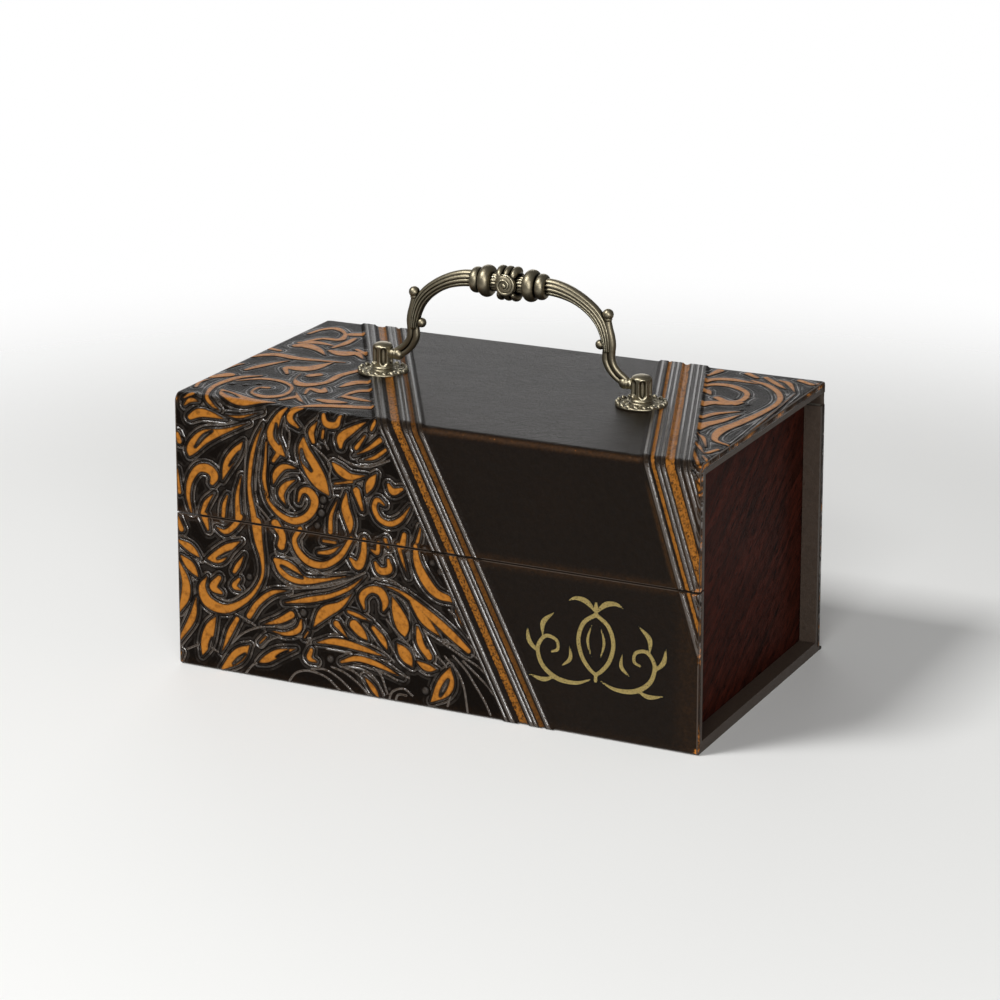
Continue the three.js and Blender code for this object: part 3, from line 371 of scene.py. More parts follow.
# Cast brass, chemically aged: dark olive in the recesses, bright pale gold where the relief is buffed.
brass = {
    "bright": linear("#dcd4b8"), "body": linear("#968d77"), "dark": linear("#17140f"), "reach": 1.8,
    "recess": {"From Min": 0.5, "From Max": 0.95}, "crests": {"From Min": 0.3, "From Max": 0.95},
    "mottled": {"Scale": 0.55, "Detail": 6, "Roughness": 0.7},
    "uneven": {"From Min": 0.3, "From Max": 0.6, "To Min": 0.25}, "gloss": {"To Min": 0.42, "To Max": 0.24},
    "cast": {"Scale": 1.3, "Detail": 5}, "relief": {"Strength": 0.5, "Distance": 0.12 * mm},
}


def antiqueBrass():
    material, node, grid = newMaterial("antique brass")
    # How open each point is, over a millimetre or two, tells the recesses from the buffed crests.
    openness = node("ShaderNodeAmbientOcclusion", {"Distance": brass["reach"] * mm}, samples=8,
                    only_local=True).outputs["AO"]
    recess = node("ShaderNodeMapRange", {"Value": openness, **brass["recess"]},
                  interpolation_type="SMOOTHSTEP")
    mottled = node("ShaderNodeTexNoise", {"Vector": grid, **brass["mottled"]})
    # Tight crests are buffed bright, and unevenly; their sharpness is stored with the mesh.
    sharp = node("ShaderNodeAttribute", attribute_name="sharpness").outputs["Fac"]
    crests = node("ShaderNodeMapRange", {"Value": sharp, **brass["crests"]})
    uneven = node("ShaderNodeMapRange", {"Value": mottled, **brass["uneven"]})
    polish = node("ShaderNodeMath", {0: crests, 1: uneven}, operation="MULTIPLY", use_clamp=True)
    colour = node("ShaderNodeMix", {0: polish, 6: brass["body"], 7: brass["bright"]}, data_type="RGBA")
    colour = node("ShaderNodeMix", {0: recess, 6: brass["dark"], 7: colour}, data_type="RGBA")
    rough = node("ShaderNodeMapRange", {"Value": polish, **brass["gloss"]})
    cast = node("ShaderNodeTexNoise", {"Vector": grid, **brass["cast"]})
    bump = node("ShaderNodeBump", {"Height": cast, **brass["relief"]})
    return finished(material, node, {"Base Color": colour, "Metallic": 1, "Roughness": rough, "Normal": bump})


# Grey card: matt and fibrous.
card = {
    "light": linear("#8d887c"), "shade": linear("#6d685e"), "tone": {"From Min": 0.34, "From Max": 0.66},
    "fibres": {"Scale": 1.1, "Detail": 8, "Roughness": 0.75}, "gloss": {"To Min": 0.75, "To Max": 0.95},
    "relief": {"Strength": 0.6, "Distance": 0.15 * mm},
}


def greyCard():
    material, node, grid = newMaterial("grey card")
    fibres = node("ShaderNodeTexNoise", {"Vector": grid, **card["fibres"]})
    tone = node("ShaderNodeMapRange", {"Value": fibres, **card["tone"]})
    colour = node("ShaderNodeMix", {0: tone, 6: card["shade"], 7: card["light"]}, data_type="RGBA")
    rough = node("ShaderNodeMapRange", {"Value": fibres, **card["gloss"]})
    bump = node("ShaderNodeBump", {"Height": fibres, **card["relief"]})
    return finished(material, node, {"Base Color": colour, "Roughness": rough, "Normal": bump})


# Velvet: a short, dense wine-red pile, lit at its edges, brushed in patches, with painted shade darkening its
# seams.
pile = {
    "deep": linear("#4a0e17"), "lit": linear("#6d1926"), "seamShade": linear("#1c0408"), "shine": 0.15,
    "sheen": {"Sheen Weight": 0.45, "Sheen Roughness": 0.35, "Sheen Tint": linear("#c96f78")},
    "brushed": {"Scale": 0.045, "Detail": 2}, "tufts": {"Scale": 3.2, "Detail": 3}, "tuftShare": 0.9,
    "tone": {"From Min": 0.65, "From Max": 1.25}, "gloss": {"To Min": 0.8, "To Max": 1},
    "relief": {"Strength": 0.7, "Distance": 0.2 * mm},
}


def velvet():
    material, node, grid = newMaterial("velvet")
    brushed = node("ShaderNodeTexNoise", {"Vector": grid, **pile["brushed"]})
    tufts = node("ShaderNodeTexNoise", {"Vector": grid, **pile["tufts"]})
    tone = node("ShaderNodeMath", {0: tufts, 1: pile["tuftShare"], 2: brushed}, operation="MULTIPLY_ADD")
    tone = node("ShaderNodeMapRange", {"Value": tone, **pile["tone"]})
    # Painted shade: the colour darkens along the quilting seams, where the cloth sinks.
    seamShade = node("ShaderNodeAttribute", attribute_name="seamShade").outputs["Fac"]
    colour = node("ShaderNodeMix", {0: tone, 6: pile["deep"], 7: pile["lit"]}, data_type="RGBA")
    colour = node("ShaderNodeMix", {0: seamShade, 6: colour, 7: pile["seamShade"]}, data_type="RGBA")
    rough = node("ShaderNodeMapRange", {"Value": brushed, **pile["gloss"]})
    bump = node("ShaderNodeBump", {"Height": tufts, **pile["relief"]})
    return finished(material, node, {"Base Color": colour, "Roughness": rough, "Normal": bump,
                                     "Specular IOR Level": pile["shine"], **pile["sheen"]})


# Zinc-plated steel screws and nickel-plated magnets, brushed and a little dulled.
steel = {
    "bright": linear("#b9bbb8"), "dull": linear("#84868a"), "smear": {"Scale": 0.8, "Detail": 5},
    "gloss": {"To Min": 0.22, "To Max": 0.42}, "relief": {"Strength": 0.3, "Distance": 0.05 * mm},
}


def platedSteel():
    material, node, grid = newMaterial("plated steel")
    smear = node("ShaderNodeTexNoise", {"Vector": grid, **steel["smear"]})
    colour = node("ShaderNodeMix", {0: smear, 6: steel["dull"], 7: steel["bright"]}, data_type="RGBA")
    rough = node("ShaderNodeMapRange", {"Value": smear, **steel["gloss"]})
    bump = node("ShaderNodeBump", {"Height": smear, **steel["relief"]})
    return finished(material, node, {"Base Color": colour, "Metallic": 1, "Roughness": rough, "Normal": bump})


finishes = {
    "embossed": embossedLeatherette(), "leatherette": plainLeatherette(), "mahogany": mahogany(),
    "antique_brass": antiqueBrass(), "board": greyCard(), "velvet": velvet(), "steel": platedSteel(),
}
finishes["magnet"] = finishes["steel"]
for row in frame["record"]["subparts"]:
    for socket in nodes[row["node"]].material_slots:
        socket.material = finishes[row["material_slot"]]
print("stage: materials")

# Shapes from points and faces


def applied(piece):
    made = bpy.data.meshes.new_from_object(piece.evaluated_get(bpy.context.evaluated_depsgraph_get()))
    piece.modifiers.clear()
    piece.data = made
    return made


def listed(data, key):
    values = np.empty(len(data) * 3)
    data.foreach_get(key, values)
    return values.reshape(-1, 3)


def setMark(mesh, name, values):
    layer = mesh.attributes.new(name, "FLOAT", "POINT")
    layer.data.foreach_set("value", np.asarray(values).reshape(-1).astype(np.float32))


def markSharpness(mesh):
    # Mean bend of the surface round each point, per millimetre: crests are above 0 and hollows below.
    count = len(mesh.vertices)
    points, normals = listed(mesh.vertices, "co") / mm, listed(mesh.vertices, "normal")
    pairs = np.empty(len(mesh.edges) * 2, np.int64)
    mesh.edges.foreach_get("vertices", pairs)
    pairs = pairs.reshape(-1, 2)
    bend, weight = np.zeros(count), np.zeros(count)
    for a, b in ((pairs[:, 0], pairs[:, 1]), (pairs[:, 1], pairs[:, 0])):
        step = points[a] - points[b]
        squared = np.maximum((step ** 2).sum(1), 1e-4)
        np.add.at(bend, a, (normals[a] * step).sum(1) / squared)
        np.add.at(weight, a, 1)
    setMark(mesh, "sharpness", np.clip(bend / np.maximum(weight, 1), -2, 2))


def meshPiece(name, vertices, faces, slot, body, *replaced, finish=None, work=None):
    # work is a tree of repeated parts that grow on the mesh, with the values of its inputs.
    mesh = bpy.data.meshes.new(name)
    mesh.from_pydata((np.asarray(vertices) * mm).tolist(), [], [list(face) for face in faces])
    mesh.materials.append(finishes[finish or slot])
    piece = bpy.data.objects.new(name, mesh)
    bpy.context.scene.collection.objects.link(piece)
    if work:
        tree, values = work
        grown = piece.modifiers.new(tree.name, "NODES")
        grown.node_group = tree
        for socket in tree.interface.items_tree:
            if socket.name in values:
                grown[socket.identifier] = values[socket.name]
        mesh = applied(piece)
    mesh.polygons.foreach_set("use_smooth", [True] * len(mesh.polygons))
    turned = bmesh.new()
    turned.from_mesh(mesh)
    bmesh.ops.recalc_face_normals(turned, faces=turned.faces)
    turned.to_mesh(mesh)
    turned.free()
    if slot == "antique_brass":
        markSharpness(mesh)
    if body:
        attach(piece, body)
    if replaced:
        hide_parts(*replaced)
    return piece


def gridFaces(rows, columns):
    return [(i * columns + j, i * columns + j + 1, (i + 1) * columns + j + 1, (i + 1) * columns + j)
            for i in range(rows - 1) for j in range(columns - 1)]


def gridRim(rows, columns):
    last = (rows - 1) * columns
    return [*range(columns), *range(2 * columns - 1, last + columns, columns),
            *range(last + columns - 2, last - 1, -1), *range(last - columns, 0, -columns)]


# Embossed skins: thin sheets laid over the front, the top and the back of the case

# Sizes in millimetres. Along the sheet is up the front, over the front edge and back across the top.
sheet = {
    "halfLength": 100, "halfDepth": 58, "height": 101, "frontRound": 3, "edgeRound": 1.6, "footIn": 1.3,
    "flapFoot": 57.42, "frontTop": 56.78, "hingeFoot": 92.4, "lidFoot": 97.2,
    "lift": 0.12, "cell": 0.59, "turn": 0.9, "skirt": 0.6, "depth": 1.2, "slack": 0.012,
    "plateau": 0.2, "line": 0.06, "berry": 0.3, "rib": 0.6, "ribFoot": 2.1, "ribShoulder": 1.35,
    "border": 0.3,
    # Marks are measured out to these distances, and slits are this share of their leaf's width.
    "far": 6.0, "strokeReach": 5, "lineReach": 3, "foilReach": 1.5, "slit": 0.26,
}
edgeLength = sheet["frontRound"] * math.pi / 2
frontStraight = sheet["height"] - sheet["frontRound"]

# Caramel strokes of the ornament, in millimetres: across, along the sheet from the front edge, and width.
strokes = [
    [(-96, -0.8, 1), (-93.7, 1.2, 2), (-90, 1.2, 0.6)],
    [(-93.7, -4.9, 2.5), (-89.9, -2.9, 3.6), (-85.1, -3, 2.6), (-79, -4.1, 0.4)],
    [(-69.7, -4, 0.4), (-79.5, -8.2, 2.1), (-88.1, -11.5, 5.3), (-93.1, -16.2, 4.7), (-94.4, -19.3, 0.8)],
    [(-94, -40, 1.3), (-95.2, -34.2, 2.1), (-94.2, -28.2, 2.7), (-90.8, -23.6, 3.2), (-86.7, -23.1, 3.9),
     (-84.3, -25.3, 3.8), (-85.2, -28, 2.3)],
    [(-72.2, -10.9, 0.4), (-75.6, -15.7, 3.7), (-78.9, -20.6, 3.7), (-81.1, -26.7, 0.4)],
    [(-99.2, -11.8, 2.1), (-98.4, -14.3, 2.6)], [(-99.5, -25.2, 1.3), (-98.8, -33.3, 2.1)],
    [(-64.1, -3.7, 0.4), (-67, -9.9, 1.5), (-69.1, -17.4, 2), (-70.1, -27.8, 2), (-68.3, -39.3, 2.9)],
    [(-63, -10.1, 1.2), (-63.5, -17.4, 1.6), (-64, -24.8, 2), (-61.7, -31.8, 0.4)],
    [(-55.6, 2.9, 1.6), (-58.4, -1.1, 3), (-60.5, -6.8, 4.8), (-58.6, -11.3, 4.2), (-55.5, -14.5, 0.8)],
    [(-49.8, 3.9, 1.7), (-52.8, 1.8, 2.5), (-53.3, -0.8, 2.9), (-50.1, -3.3, 1.2)],
    [(-40.8, 2.6, 1.7), (-39, -0.5, 2.9), (-35.1, -0.3, 2.6), (-34.2, 2.7, 1.8)],
    [(-42.6, -0.2, 0.7), (-45, -4.1, 2.7), (-44.3, -7.6, 2)], [(-40.3, -3.1, 1.5), (-40.7, -5.7, 1.5)],
    [(-48.2, -6.7, 1.2), (-47.9, -11.7, 5.3), (-45.2, -16.8, 7), (-42.1, -21.4, 6.2), (-38.2, -26.3, 0.8)],
    [(-23.8, 1.9, 0.8), (-28.9, -1.3, 2.8), (-33.2, -4.7, 3.6), (-33.6, -8, 1.9)],
    [(-18, -3.5, 2.4), (-22.7, -7.3, 1.7), (-28.6, -10.6, 0.3)], [(-23.9, -2.8, 1.1), (-27.4, -7.6, 2.1)],
    [(-15.8, -6.7, 1.7), (-20.4, -10.2, 1.7), (-25.9, -12, 0.3)],
    [(-36.5, -14.5, 1.6), (-33.7, -16.7, 3.6), (-29.8, -18.3, 2.9), (-23.6, -17.1, 0.4)],
    [(-20.4, 2.3, 2.2), (-21.5, -0.4, 1.5)],
    [(-50.7, -18.2, 0.7), (-55.9, -18.2, 2.5), (-59.2, -21.2, 2.9), (-60.4, -25, 0.8)],
    [(-51.6, -22.4, 0.7), (-55.2, -24.7, 2.5), (-57.3, -28.3, 2.8), (-55.3, -32.4, 0.4)],
    [(-50.5, -30.2, 1.1), (-49.3, -26.4, 2.1), (-46.5, -25.7, 3.1), (-44.1, -28.3, 3.7), (-44.6, -32, 3.3),
     (-47.8, -35.7, 3.1), (-52.6, -37.5, 3), (-57.8, -36, 2.4), (-62.1, -32.2, 1.7), (-64.5, -27.8, 0.4)],
    [(-58.6, -14.2, 2.2), (-60.3, -16.6, 1.8)],
    [(-84.4, -31.6, 0.4), (-87.8, -35.8, 2.2), (-89.5, -39.8, 1.9)],
    [(-79.1, -32, 1.1), (-80.4, -35.5, 2), (-80.9, -39.7, 2)],
    [(-73.3, -23.9, 0.8), (-75, -31.4, 2), (-74.8, -40.3, 2.9)],
    [(-35, -27.4, 0.7), (-37.5, -33.5, 1.9), (-37.9, -39.4, 2.3)],
    [(-31.5, -24.3, 0.8), (-31.9, -29.8, 3.6), (-30.4, -34.7, 3.6), (-30.1, -39, 0.8)],
    [(-27.5, -23.1, 3.2), (-25.3, -29.6, 1.6)],
    [(-16.7, -26.6, 1.2), (-19.4, -25.2, 2.1), (-20.6, -28.2, 2.4), (-18.7, -31.9, 2.4), (-14.8, -33.2, 2.5),
     (-10.5, -31.1, 2.1), (-6.6, -25.9, 0.7)],
    [(-15.1, -19.2, 1.6), (-13.2, -21.4, 3), (-9.3, -19.8, 1.4)],
    [(-19.7, -15.9, 0.7), (-22.1, -19.8, 3.6), (-23.6, -23.6, 0.7)], [(-36.2, -21.7, 1.1), (-29.1, -20, 1.4)],
    [(-9, -36.3, 2.2), (-9.8, -40.4, 3)], [(-2.5, -32.8, 1.1), (-4, -38.1, 1.8)],
    [(-16.4, -39.2, 2), (-15.2, -41.9, 1.2)], [(-88.7, -40.8, 3.4), (-87.2, -45.7, 1.3)],
    [(-83.9, -44.2, 0.8), (-80.2, -45.5, 2.2), (-76.5, -42.7, 2.5), (-74, -39, 2.6)],
    [(-99.9, -43.1, 2.2), (-98.3, -47, 2.6)], [(-100.1, -51.3, 1.2), (-94.8, -53.6, 3.4), (-90.3, -57, 0.4)],
    [(-98.6, -57.1, 1.3), (-94.9, -60.3, 3.9), (-91.7, -64, 0.9)],
    [(-73.7, -47.9, 0.4), (-79.1, -51.3, 3.5), (-83.3, -55.2, 5), (-88.2, -56.7, 0.4)],
    [(-72.6, -52.9, 0.4), (-75.1, -57, 2.2), (-76.8, -59.8, 1.9)],
    [(-67.5, -40.3, 4.5), (-66.8, -46.5, 3.7), (-65.3, -53.7, 2.1), (-65.4, -59.6, 1.6), (-68.4, -65.6, 1.8),
     (-73.3, -70.5, 2.5), (-80.8, -74.3, 3.7), (-87.7, -72.7, 4.7), (-90.1, -67.8, 3.3), (-87.9, -63, 0.4)],
    [(-83, -63, 2.2), (-85.6, -66.8, 3.4), (-82.3, -68.5, 1.7)],
    [(-74.8, -62.2, 1.5), (-76.9, -65.1, 2.5), (-74.5, -66.2, 1.2)],
    [(-100.3, -58.1, 0.9), (-97.1, -65.9, 3.4), (-97.2, -71.9, 4), (-99.9, -78, 1.5)],
    [(-92.7, -72, 0.8), (-94.5, -79.8, 3.1), (-100.1, -89, 1.5)],
    [(-59.8, -39.6, 3.8), (-57.1, -43.6, 3.3), (-57.6, -47.4, 3.5)],
    [(-49.8, -40, 2.2), (-52.3, -44.4, 2.4), (-50.4, -48.9, 2.9), (-46, -51.9, 3.1), (-40.1, -51.8, 2.8),
     (-34.1, -47.6, 2.5), (-29.7, -40.7, 2.1)],
    [(-42.8, -47.8, 1.4), (-38, -46.7, 2.1), (-33.2, -43.4, 0.3)], [(-40.7, -43.1, 1.5), (-36, -43.1, 1.5)],
    [(-60.1, -52.9, 2.1), (-54.9, -56.2, 7), (-46.9, -58.7, 2.9), (-29.4, -54.2, 0.4)],
    [(-24.3, -53.4, 0.3), (-30.3, -58.7, 1.7), (-38.2, -62.9, 2.1), (-47, -65.7, 2.5), (-56.7, -68.3, 0.7)],
    [(-54.6, -63.5, 0.4), (-61.5, -65.3, 2.1), (-67.2, -69.9, 2.5), (-71, -75.4, 2.6)],
    [(-29.1, -60.4, 0.3), (-34.3, -65.6, 2.8), (-40.7, -69.5, 4.5), (-45.1, -75.4, 0.7)],
    [(-53.9, -72.3, 3.2), (-58.8, -75.3, 2.5), (-65.7, -77.9, 0.4)],
    [(-49.9, -73.5, 1.1), (-51.2, -77.5, 2.5), (-56.4, -79.8, 1.8), (-63.3, -79.4, 0.4)],
    [(-84.5, -77.5, 0.4), (-87.1, -82.4, 4.2), (-88.9, -88, 4.7), (-90.7, -93.6, 0.4)],
    [(-75.9, -77.3, 2.2), (-78.9, -82.6, 2.6), (-81, -87.5, 1.5), (-82.7, -91.1, 0.4)],
    [(-70.8, -86.2, 0.4), (-75.8, -91.1, 5.4), (-82.5, -97.1, 1.4)],
    [(-52.1, -84.7, 0.4), (-59, -87.3, 3.2), (-63.9, -90.3, 3.2), (-67.6, -92.4, 0.4)],
    [(-64.2, -82.1, 1.1), (-66.7, -84.8, 1.1)], [(-47.2, -77.6, 1.1), (-48.8, -80, 1.1)],
    [(-46, -84.1, 1.9), (-46.9, -87.2, 2.5), (-44.1, -88.2, 1.2)],
    [(-44.8, -81.3, 0.4), (-36.4, -79.5, 3), (-26.5, -80.2, 2.7), (-15.9, -82.1, 0.4)],
    [(-34.1, -86.6, 1.4), (-27.4, -84.3, 2.6), (-18.7, -85.5, 2.3), (-10.1, -88.5, 0.4)],
    [(-24.8, -65.6, 1.2), (-25.6, -61.3, 3), (-22.4, -58.2, 2.8), (-18.5, -58.4, 3.6), (-16.6, -61.7, 3.2),
     (-17.4, -65.1, 1.1)],
    [(-31.1, -67.6, 1.6), (-27.2, -68.5, 1.9), (-22.1, -69.9, 0.4)],
    [(-35.9, -72.8, 2.9), (-31.6, -77.3, 0.8)],
    [(-28.8, -72.1, 4.2), (-26.1, -74.6, 3.7), (-23.3, -77.1, 0.4)],
    [(-21.3, -72, 2.1), (-17.8, -75.8, 2.9), (-15.5, -79.8, 0.4)],
    [(-13.8, -59.5, 0.8), (-11.9, -64.6, 4.5), (-10, -69.1, 5.7), (-8.9, -73.6, 0.4)],
    [(-4.2, -68.9, 1.2), (-2.7, -74.5, 3.7), (0.4, -79.1, 2.9)],
    [(-12, -76.3, 0.8), (-8.9, -79.9, 5), (-6.2, -83.8, 0.8)],
    [(-4.2, -81.7, 1.2), (-0.4, -83.2, 3.1), (3.5, -83.3, 0.4)],
    [(-20.4, -55.4, 0.4), (-10.7, -57.2, 1.6), (-1.1, -62.6, 2.8), (7.8, -68.8, 3.6), (15.4, -74.5, 2.4)],
    [(-7.6, -58.9, 0.8), (-1.5, -65.9, 3.7), (5.1, -71.4, 0.4)],
    [(8.5, -81.4, 0.4), (6.5, -88.7, 6.7), (1.1, -95.4, 1)],
    [(-4.8, -39.7, 2), (-4.1, -45.3, 3.2), (-1, -51.4, 4.1), (4, -56, 3.5), (12.4, -56.9, 2.2)],
    [(12, -60.5, 3.2), (13.9, -64.6, 2.8), (16.9, -68.1, 1.2)],
    [(-24.6, -40.4, 2.3), (-25, -45.9, 3), (-27, -50.2, 3.5), (-30.1, -48.1, 1.6)],
    [(-19.1, -40.7, 1.9), (-19.5, -44.3, 2.1), (-21.9, -43.6, 1.2)],
    [(-15.3, -46.3, 1.6), (-14.9, -49.8, 2.8), (-18.4, -50.7, 3.1), (-20.4, -48.1, 1.6)],
    [(-11.4, -40.3, 2), (-9.8, -45.5, 1.6), (-7.6, -51.3, 0.4)],
    [(-25, -90.6, 0.8), (-21.5, -94.5, 2.5), (-19.2, -97.8, 0.8)],
    [(-99.4, -93.5, 1.2), (-101.2, -98.3, 1.2)], [(89.1, 18.7, 2.3), (94.5, 9.8, 1.9), (99.5, 2, 0.9)],
    [(97, -0.1, 1), (99.5, -4.9, 2.2)], [(96.4, -8, 0.7), (98.9, -12.8, 1.5)],
    [(-96.6, 95, 2), (-95, 102.4, 2.5), (-91, 106, 3.7), (-84.4, 100.9, 2), (-81.9, 92.3, 3.5),
     (-88.7, 90.6, 2.9), (-92, 84.1, 2.5)],
    [(-93.3, 81.8, 2.9), (-87.9, 84.5, 4.1), (-79.8, 83.5, 1.2)],
    [(-78.8, 80.8, 1.9), (-77.5, 87.9, 3.4), (-77.6, 96, 2.3)],
    [(-92.2, 77.5, 4.4), (-89.2, 79, 5.8), (-82.4, 75.9, 3.6), (-75.7, 69.6, 0.6)],
    [(-77.8, 76.5, 2.2), (-71.4, 74.9, 6.5), (-67.1, 77, 3.9), (-60.5, 70.7, 0.6)],
    [(-69.5, 82.2, 2.2), (-61.5, 76.5, 2.9)],
    [(-100.8, 55.8, 2.8), (-93.3, 62.6, 4.2), (-82.3, 61.7, 3.8), (-64.8, 64, 1.3)],
    [(-100.9, 32.5, 1.7), (-99.8, 42.2, 3), (-97.3, 46.6, 1.2)],
    [(-92.5, 39.6, 2.1), (-90, 47, 3.4), (-84.5, 57.4, 1.2)],
    [(-76.5, 41.4, 1.8), (-80.5, 48.6, 3.2), (-73, 50.7, 6.5), (-68.8, 62, 1.1)],
    [(-72, 43.6, 1), (-70, 35.5, 1.5), (-64.2, 30.9, 4.9), (-58.4, 36.7, 3.1), (-58.1, 47.4, 3.5),
     (-55.4, 56.2, 3)],
    [(-67.7, 42.6, 3.8), (-65.5, 45.2, 3.8)], [(-50.8, 34.5, 2), (-48.5, 41.5, 4.9), (-43.7, 43.9, 4)],
    [(-38.8, 34.5, 3.9), (-42.9, 31, 3.2), (-45, 21.3, 0.9)],
    [(-83.3, 35, 1.3), (-89.7, 28.8, 3.3), (-91.8, 15.9, 2.7), (-88.4, 4.4, 1.9), (-85, 0.8, 1.7),
     (-81.8, -0.8, 0.8)],
    [(-88.3, 25, 1.3), (-81.3, 31.5, 2.7), (-72.6, 31.2, 2.7), (-65.8, 25.6, 1.8), (-63.9, 16.3, 2.6),
     (-68.3, 11.2, 3.8), (-75.3, 13.6, 1.8), (-76.7, 20.3, 1.9), (-73.5, 21.9, 2.7)],
    [(-86.9, 12.4, 1.7), (-81.4, 7.8, 6.6), (-73.1, 4.6, 6.3), (-61.7, 5.9, 1.2)],
    [(-97.2, 11.7, 1.8), (-99.3, 18.2, 2.1), (-97.8, 23.4, 1)], [(-98.8, 25.9, 3.8), (-94.6, 31, 5.1)],
    [(-61.7, 10.2, 2.2), (-58.8, 15.9, 3.3)], [(-62, 21.6, 0.8), (-56.7, 14.1, 2.1), (-51.7, 9.4, 0.5)],
    [(-57.9, 20.7, 1.5), (-59.4, 27.3, 2.5), (-53.7, 25.7, 3.9), (-55.3, 30.8, 1.3)],
    [(-50, 15.9, 2.3), (-44.4, 15.8, 4.8), (-39.1, 17, 1.2)],
    [(-43.4, 23.5, 3.2), (-36.8, 22.4, 3.2), (-32.2, 21.8, 1.1)],
    [(-79, -2.3, 0.7), (-73.3, -2.3, 1.4), (-64.4, 0.6, 0.3)],
    [(-53.9, 2.7, 1), (-45.8, 9.4, 3.8), (-28.9, 14.8, 3.8)], [(-81.4, 100.8, 4.5), (-78, 102.4, 4.5)],
    [(-101.5, 69.8, 3.4), (-94.4, 68.4, 2.3)], [(-96.6, 1.5, 0.8), (-94.1, 3.8, 2.5)],
    [(61.5, 93.9, 3.5), (63.6, 100.9, 3.6), (70, 104, 3.9), (79.9, 102.9, 1.2)],
    [(60.3, 105.3, 1.5), (61.6, 113.5, 3.8)],
    [(64.9, 83.8, 1.7), (64.7, 92.6, 2.8), (69.3, 96.3, 3.9), (75.5, 94.9, 3.5), (81.6, 89.1, 2.6),
     (83, 79.8, 3), (79.1, 76.4, 3.6), (74.1, 79.7, 3.2)],
    [(66.8, 81.9, 2), (67.2, 86.4, 3.8), (70.7, 82.4, 1.1)],
    [(71.4, 67, 5.2), (74.9, 73, 4.9), (81, 74.5, 3.4), (84.4, 84.7, 0.9)],
    [(76.9, 105.9, 1.9), (84.4, 102.2, 3), (91.6, 94, 2.8), (95.5, 83, 2.6), (95.1, 68.8, 3.1),
     (92.9, 53.9, 4.1), (90.7, 42, 4.3), (93, 31.1, 2.6), (99.8, 26.6, 1.5)],
    [(79.9, 111.8, 2.6), (87, 105, 2.7), (92.2, 100.2, 0.7)],
    [(85.8, 110.3, 1.8), (90, 107.9, 2.8), (96.2, 97.7, 0.8)],
    [(82.4, 39.2, 3.8), (83.1, 46.4, 4.8), (86.5, 53.5, 3.5), (89.5, 63.3, 0.8)],
    [(78.2, 52.2, 2.6), (81.4, 60.6, 3.1), (87.8, 66.6, 1.2)],
    [(84.8, 35.1, 1.1), (88.5, 31.5, 2), (93.4, 22.1, 1)],
    [(86.1, 25.1, 2.1), (90.6, 22, 2.1), (95.9, 14.3, 0.8)],
    [(87.9, 18.1, 2), (92.6, 12.7, 2.5), (98.1, 3.6, 1.6)], [(96.6, 15.9, 2.3), (98, 20.5, 2.3)],
    [(96.4, 12, 1.3), (101.9, 4.6, 2.1)],
    [(96.6, 96.5, 1), (98.6, 69.1, 1), (100.2, 42.6, 1), (101.3, 18.3, 1)],
    [(83, 74.1, 2.4), (84, 77.4, 2.4)], [(72.1, 114.1, 3.1), (77, 110.4, 2.3)],
    [(92.1, 113.4, 2.8), (97.8, 110.2, 2.7)],
]
# Slits split some leaves along their middle; each is found by the place where its leaf starts.
slits = {
    (-69.7, -4): [(-84.8, -8.9), (-88.5, -11.5), (-91.9, -15.7)],
    (-72.2, -10.9): [(-73.9, -15.1), (-78.1, -20.8)],
    (-55.6, 2.9): [(-58.9, -3), (-59.3, -7.4), (-57.8, -10.1)],
    (-48.2, -6.7): [(-49, -11.1), (-48.3, -14.3), (-45.2, -18.2)],
    (-73.7, -47.9): [(-76.7, -52), (-83.7, -56)],
    (-60.1, -52.9): [(-57.7, -54.8), (-53.7, -56.7), (-49.3, -57.9)],
    (-84.5, -77.5): [(-86.4, -86.1), (-87.7, -90.8)],
    (-70.8, -86.2): [(-72.9, -89.9), (-77.9, -94.5)],
    (-52.1, -84.7): [(-55.3, -85.9), (-60.2, -89)],
    (-4.2, -68.9): [(-1.9, -71.8), (-0.3, -75.9)],
    (8.5, -81.4): [(7.7, -86.3), (4.6, -92.6)],
    (-86.9, 12.4): [(-84.9, 10.4), (-76.6, 5.8)],
}
